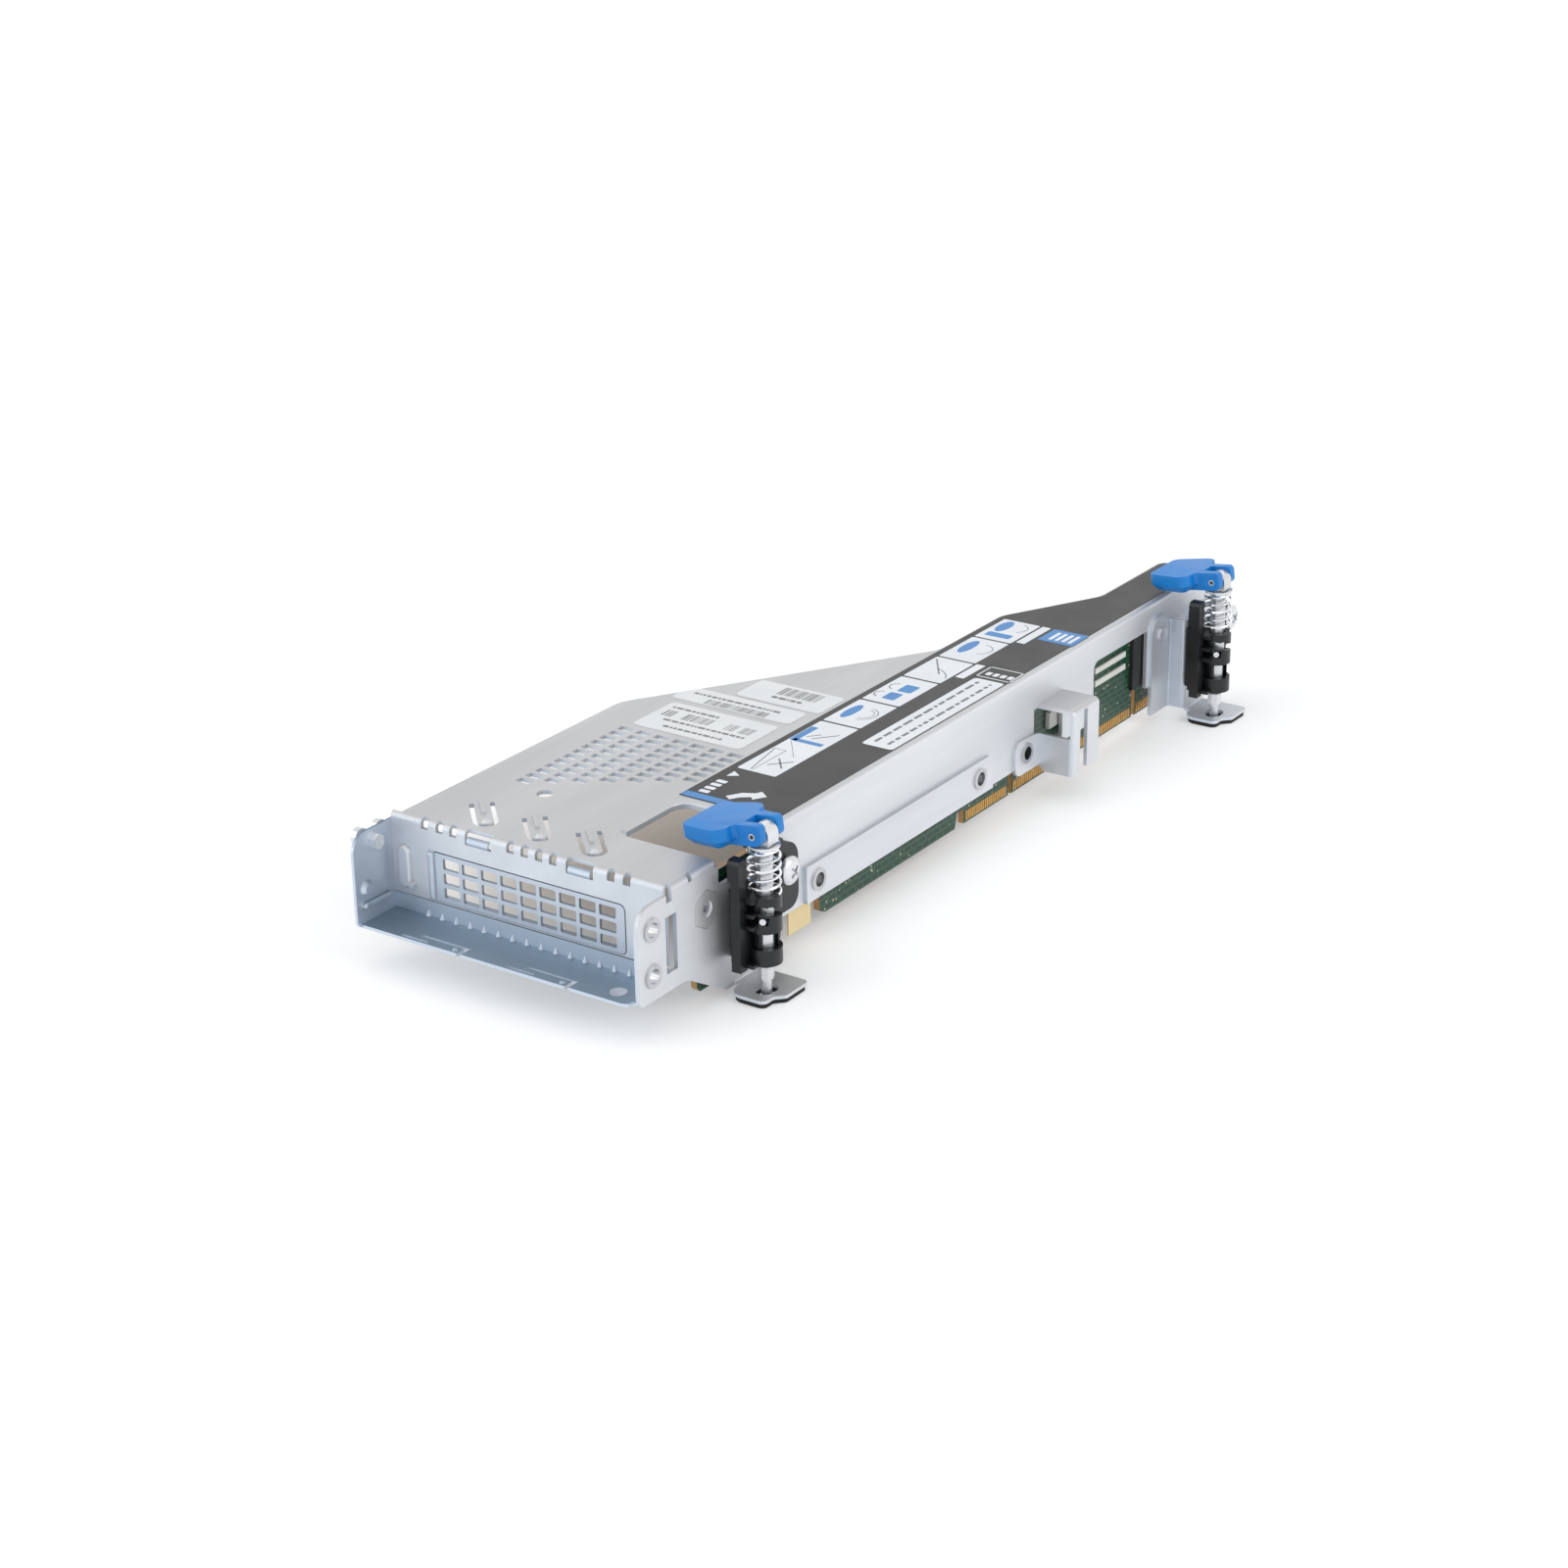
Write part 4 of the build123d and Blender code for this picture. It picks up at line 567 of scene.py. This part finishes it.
def roundedBox(x0, y0, x1, y1, radius=0.6, steps=4):
    corners = []
    for cx, cy, start in ((x1 - radius, y0 + radius, -90), (x1 - radius, y1 - radius, 0),
                          (x0 + radius, y1 - radius, 90), (x0 + radius, y0 + radius, 180)):
        for step in range(steps + 1):
            angle = math.radians(start + 90 * step / steps)
            corners.append((cx + radius * math.cos(angle), cy + radius * math.sin(angle)))
    return corners


def roundDisc(cx, cy, rx, ry, steps=20):
    return [(cx + rx * math.cos(2 * math.pi * step / steps), cy + ry * math.sin(2 * math.pi * step / steps))
            for step in range(steps)]


def ribbon(x0, y0, x1, y1, width):
    along = Vector((x1 - x0, y1 - y0)).normalized()
    across = Vector((-along.y, along.x)) * width / 2
    return [(x0 - across.x, y0 - across.y), (x1 - across.x, y1 - across.y), (x1 + across.x, y1 + across.y),
            (x0 + across.x, y0 + across.y)]


def arcRibbon(cx, cy, radius, start, end, width, steps=12):
    outer, inner = [], []
    for step in range(steps + 1):
        angle = math.radians(start + (end - start) * step / steps)
        for side, reach in ((outer, radius + width / 2), (inner, radius - width / 2)):
            side.append((cx + reach * math.cos(angle), cy + reach * math.sin(angle)))
    return outer + inner[::-1]


def makePrint(name, shapes, low, high, finish):
    mesh = bmesh.new()
    for corners in shapes:
        addShape(mesh, corners, low, high)
    bmesh.ops.recalc_face_normals(mesh, faces=mesh.faces)
    piece = linkedMesh(name, mesh)
    piece.data.materials.append(finish)
    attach(piece, "cage")


# Places are in mm on the label; a box is x0, y0, x1, y1 and the radius of its corners
labelSettings = {
    "face": 24.95,  # height of the film's upper face
    "fieldRise": 0.02,
    "inkRise": 0.04,
    "topRise": 0.055,
    "panels": [(76.0, 111.6), (112.4, 129.0), (129.8, 148.2), (149.0, 165.2), (166.0, 182.8), (183.6, 199.2)],
    "panelSides": (53.3, 64.3),
    "panelRadius": 0.5,
    "notes": [(69.6, 104.6, 78.4, 157.2, 1.0), (65.0, 155.0, 67.5, 165.8, 0.3),
              (65.0, 185.2, 67.5, 199.2, 0.3)],
    "frame": (68.9, 158.6, 78.9, 166.2),
    "frameLine": 0.4,
    "frameRadius": 0.15,
    "frameMark": (70.4, 160.4, 71.9, 162.6, 0.4),
    "frameMarkStep": 2.1,
    "endMark": (53.9, 59.4, 56.7, 60.9, 0.35),
    "endMarkStep": 2.3,
    "marks": 4,
    "pointer": [(54.2, 70.4), (56.8, 72.1), (54.2, 73.8)],
    "arrow": [(61.2, 60.4), (63.0, 59.2), (64.4, 61.4), (66.6, 63.0), (67.6, 61.9),
              (69.6, 65.0), (66.9, 66.9), (66.2, 65.4), (63.4, 64.0)],
    "blueBoxes": [(68.6, 190.0, 78.9, 199.2, 0.4), (51.6, 55.8, 78.4, 58.4, 0.4),
                  (53.5, 97.4, 55.5, 107.3, 0.3), (54.4, 97.2, 62.8, 98.9, 0.3),
                  (57.8, 138.8, 61.8, 143.8, 0.5), (57.2, 132.6, 60.8, 137.4, 0.5),
                  (54.8, 185.9, 62.2, 188.9, 0.6)],
    "blueDiscs": [(56.1, 121.0, 1.5, 4.8), (56.3, 175.8, 1.6, 5.0), (56.3, 194.0, 1.8, 4.2)],  # two half widths
    "lines": [(58.4, 81.2, 62.8, 85.9, 0.45), (58.6, 85.9, 62.6, 81.0, 0.45),
              (58.0, 100.4, 62.6, 105.8, 0.4), (56.2, 101.0, 58.6, 103.8, 0.35),
              (54.0, 90.8, 57.2, 90.8, 0.2), (57.2, 90.8, 57.2, 76.9, 0.2),
              (54.0, 90.8, 56.6, 76.9, 0.3), (54.6, 96.8, 61.0, 88.4, 0.15),
              (54.2, 163.6, 60.6, 154.4, 0.4)],  # both ends and the width
    "arcs": [(59.2, 121.0, 4.0, -80, 80, 0.25), (59.2, 121.0, 3.0, -80, 80, 0.2),
             (56.4, 141.3, 2.0, 100, 260, 0.35), (55.8, 135.0, 1.9, 100, 260, 0.35),
             (56.0, 150.0, 8.0, 20, 75, 0.3), (59.6, 175.6, 3.6, -70, 90, 0.25),
             (59.6, 194.4, 3.2, -60, 80, 0.25)],  # centre, radius, both angles and the width
    "noteRows": (71.9, 75.6),
    "noteFrom": 107.2,
    "noteTo": 154.6,
    "noteEnd": 155.0,
    "noteLength": (1.2, 4.2),
    "noteHalf": 0.45,
    "noteGap": 0.9,
    "noteRadius": 0.2,
    "seed": 5,
    "topMark": (70.8, 191.6, 71.9, 197.4, 0.3),
    "topMarkStep": 1.9,
}


def markRow(first, count, stepX=0.0, stepY=0.0):
    x0, y0, x1, y1, radius = first
    return [roundedBox(x0 + stepX * step, y0 + stepY * step, x1 + stepX * step, y1 + stepY * step, radius)
            for step in range(count)]


def labelPrint(settings):
    x0, x1 = settings["panelSides"]
    fields = [roundedBox(x0, y0, x1, y1, settings["panelRadius"]) for y0, y1 in settings["panels"]]
    fields += [roundedBox(*box) for box in settings["notes"]]
    left, near, right, far = settings["frame"]
    line = settings["frameLine"]
    for edge in ((left, near, right, near + line), (left, far - line, right, far),
                 (left, near, left + line, far), (right - line, near, right, far)):
        fields.append(roundedBox(*edge, settings["frameRadius"], steps=2))
    fields += markRow(settings["frameMark"], settings["marks"], stepX=settings["frameMarkStep"])
    fields += markRow(settings["endMark"], settings["marks"], stepY=settings["endMarkStep"])
    fields += [settings["pointer"], settings["arrow"]]
    blues = [roundedBox(*box) for box in settings["blueBoxes"]]
    blues += [roundDisc(*disc) for disc in settings["blueDiscs"]]
    greys = [ribbon(*line) for line in settings["lines"]]
    greys += [arcRibbon(*arc) for arc in settings["arcs"]]
    chance = random.Random(settings["seed"])
    half = settings["noteHalf"]
    for column in settings["noteRows"]:
        y = settings["noteFrom"]
        while y < settings["noteTo"]:
            length = chance.uniform(*settings["noteLength"])
            after = min(y + length, settings["noteEnd"])
            greys.append(roundedBox(column - half, y, column + half, after, settings["noteRadius"], steps=2))
            y += length + settings["noteGap"]
    whites = markRow(settings["topMark"], settings["marks"], stepX=settings["topMarkStep"])
    for name, shapes, rise, ink in (("labelFields", fields, settings["fieldRise"], "inkWhite"),
                                    ("labelBlues", blues, settings["inkRise"], "inkBlue"),
                                    ("labelGreys", greys, settings["inkRise"], "inkGrey"),
                                    ("labelWhites", whites, settings["topRise"], "inkWhite")):
        makePrint(name, shapes, settings["face"], settings["face"] + rise, plastics[ink])


labelPrint(labelSettings)
print("label printed")


stickerSettings = {
    "face": 24.95,
    "rise": 0.03,
    "bars": [(17.4, 94.0, 20.2, 97.9), (23.4, 94.0, 31.8, 97.9), (36.2, 94.0, 39.2, 97.9),
             (40.6, 94.0, 44.4, 97.9), (21.8, 105.9, 40.6, 108.9), (33.4, 121.0, 45.6, 126.0)],
    "barWidths": (0.22, 0.22, 0.36, 0.5),
    "barGaps": (0.25, 0.4, 0.6),
    "barEnd": 0.3,  # no bar starts nearer to the end
    "rows": [(17.0, 99.4, 31.4, 100.4), (19.8, 91.5, 44.2, 92.5), (22.4, 87.9, 40.0, 88.9),
             (15.8, 110.2, 41.8, 111.2), (33.6, 118.3, 43.2, 119.5)],
    "rowLengths": (0.5, 2.2),
    "rowGap": 0.4,
    "rowRadius": 0.15,
    "seed": 11,
}


def stickerPrint(settings):
    chance = random.Random(settings["seed"])
    shapes = []
    for x0, y0, x1, y1 in settings["bars"]:
        x = x0
        while x < x1 - settings["barEnd"]:
            width = chance.choice(settings["barWidths"])
            after = min(x + width, x1)
            shapes.append([(x, y0), (after, y0), (after, y1), (x, y1)])
            x += width + chance.choice(settings["barGaps"])
    for x0, y0, x1, y1 in settings["rows"]:
        x = x0
        while x < x1 - settings["rowGap"]:
            length = chance.uniform(*settings["rowLengths"])
            shapes.append(roundedBox(x, y0, min(x + length, x1), y1, settings["rowRadius"], steps=2))
            x += length + settings["rowGap"]
    face = settings["face"]
    makePrint("stickerMarks", shapes, face, face + settings["rise"], plastics["inkGrey"])


stickerPrint(stickerSettings)
print("stickers printed")


# ---- the carriers' screws: a domed head with a cross recess
screwSettings = {
    "places": {"near": (52.8, 14.5, 80.0), "far": (258.7, 14.5, 85.9)},  # y, z, and x of the wall behind
    "seat": 3.7,  # underside of the head from the wall
    "radius": 3.45,
    "height": 2.0,
    "rim": 0.35,  # share of the height that is straight at the rim
    "domeSteps": 8,
    "roundSteps": 48,
    "slotWidth": 0.9,
    "slotLength": 3.8,
    "slotDepth": 0.9,
    "slotFloor": 0.7,  # size of the cross at its floor and above the head, against the drawn one
    "slotMouth": 1.1,
    "aboveHead": 1,
    "diagonal": 0.7071,  # the cross stands at 45 degrees
    "sharpFrom": 35,
}


def screwHeads(settings):
    mesh = bmesh.new()
    radius, height, rim = settings["radius"], settings["height"], settings["rim"]
    steps, turns = settings["domeSteps"], settings["roundSteps"]
    profile = [(0.0, height)]
    for step in range(1, steps + 1):
        angle = math.radians(90 * step / steps)
        profile.append((radius * math.sin(angle), height * (rim + (1 - rim) * math.cos(angle))))
    profile += [(radius, 0.0), (0.0, 0.0)]
    for y, z, wall in settings["places"].values():
        rings = []
        for out, up in profile:
            angles = [2 * math.pi * step / turns for step in range(turns)] if out else [0.0]
            rings.append([mesh.verts.new(drawn(wall + settings["seat"] + up, y + out * math.cos(angle),
                                               z + out * math.sin(angle))) for angle in angles])
        for first, second in zip(rings, rings[1:]):
            for step in range(turns):
                after = (step + 1) % turns
                if len(first) == 1:
                    mesh.faces.new((first[0], second[step], second[after]))
                elif len(second) == 1:
                    mesh.faces.new((first[step], second[0], first[after]))
                else:
                    mesh.faces.new((first[step], second[step], second[after], first[after]))
    bmesh.ops.recalc_face_normals(mesh, faces=mesh.faces)
    return linkedMesh("carrierScrews", mesh)


def crossTool(settings):
    mesh = bmesh.new()
    width, half = settings["slotWidth"] / 2, settings["slotLength"] / 2
    floor, mouth, diagonal = settings["slotFloor"], settings["slotMouth"], settings["diagonal"]
    arms = [(width, half), (width, width), (half, width), (half, -width), (width, -width), (width, -half),
            (-width, -half), (-width, -width), (-half, -width), (-half, width), (-width, width), (-width, half)]
    turned = [((a - b) * diagonal, (a + b) * diagonal) for a, b in arms]
    for y, z, wall in settings["places"].values():
        top = wall + settings["seat"] + settings["height"]
        bottom, above = top - settings["slotDepth"], top + settings["aboveHead"]
        low = [mesh.verts.new(drawn(bottom, y + a * floor, z + b * floor)) for a, b in turned]
        high = [mesh.verts.new(drawn(above, y + a * mouth, z + b * mouth)) for a, b in turned]
        mesh.faces.new(low)
        mesh.faces.new(list(reversed(high)))
        for place in range(len(arms)):
            after = (place + 1) % len(arms)
            mesh.faces.new((low[place], high[place], high[after], low[after]))
    bmesh.ops.recalc_face_normals(mesh, faces=mesh.faces)
    return linkedMesh("crossTool", mesh)


def makeScrews(settings):
    piece, tool = screwHeads(settings), crossTool(settings)
    cut = piece.modifiers.new("cross", "BOOLEAN")
    cut.object = tool
    cut.solver = "EXACT"
    applyModifiers(piece, metals["turnedSteel"])
    bpy.data.objects.remove(tool)
    piece.data.shade_smooth()
    piece.data.set_sharp_from_angle(angle=math.radians(settings["sharpFrom"]))
    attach(piece, "cage")
    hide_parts("carrier_screws")


makeScrews(screwSettings)
print("screws made")


# ---- the handles again, with their moulded edges rounded
handleSettings = {
    "rides": {"near_handle": "near_flip", "far_handle": "far_flip"},
    "names": {"near_handle": "nearHandleRound", "far_handle": "farHandleRound"},
    "merge": 0.000002,  # in metres, as is the radius of the rounding
    "flatWithin": 1,  # degrees
    "round": 0.00035,
    "steps": 3,
    "sharpFrom": 30,
}


def roundHandles(settings):
    for name, body in settings["rides"].items():
        mesh = bmesh.new()
        mesh.from_mesh(nodes[name].data)
        mesh.transform(nodes[name].matrix_world)
        bmesh.ops.remove_doubles(mesh, verts=mesh.verts, dist=settings["merge"])
        bmesh.ops.dissolve_limit(mesh, angle_limit=math.radians(settings["flatWithin"]), verts=mesh.verts,
                                 edges=mesh.edges)
        piece = linkedMesh(settings["names"][name], mesh)
        piece.data.shade_smooth()
        edge = piece.modifiers.new("roundEdges", "BEVEL")
        edge.width = settings["round"]
        edge.segments = settings["steps"]
        edge.limit_method = "ANGLE"
        edge.angle_limit = math.radians(settings["sharpFrom"])
        edge.use_clamp_overlap = True
        edge.harden_normals = True
        applyModifiers(piece, plastics["handleBlue"])
        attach(piece, body)
        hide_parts(name)


roundHandles(handleSettings)
print("handles rounded")
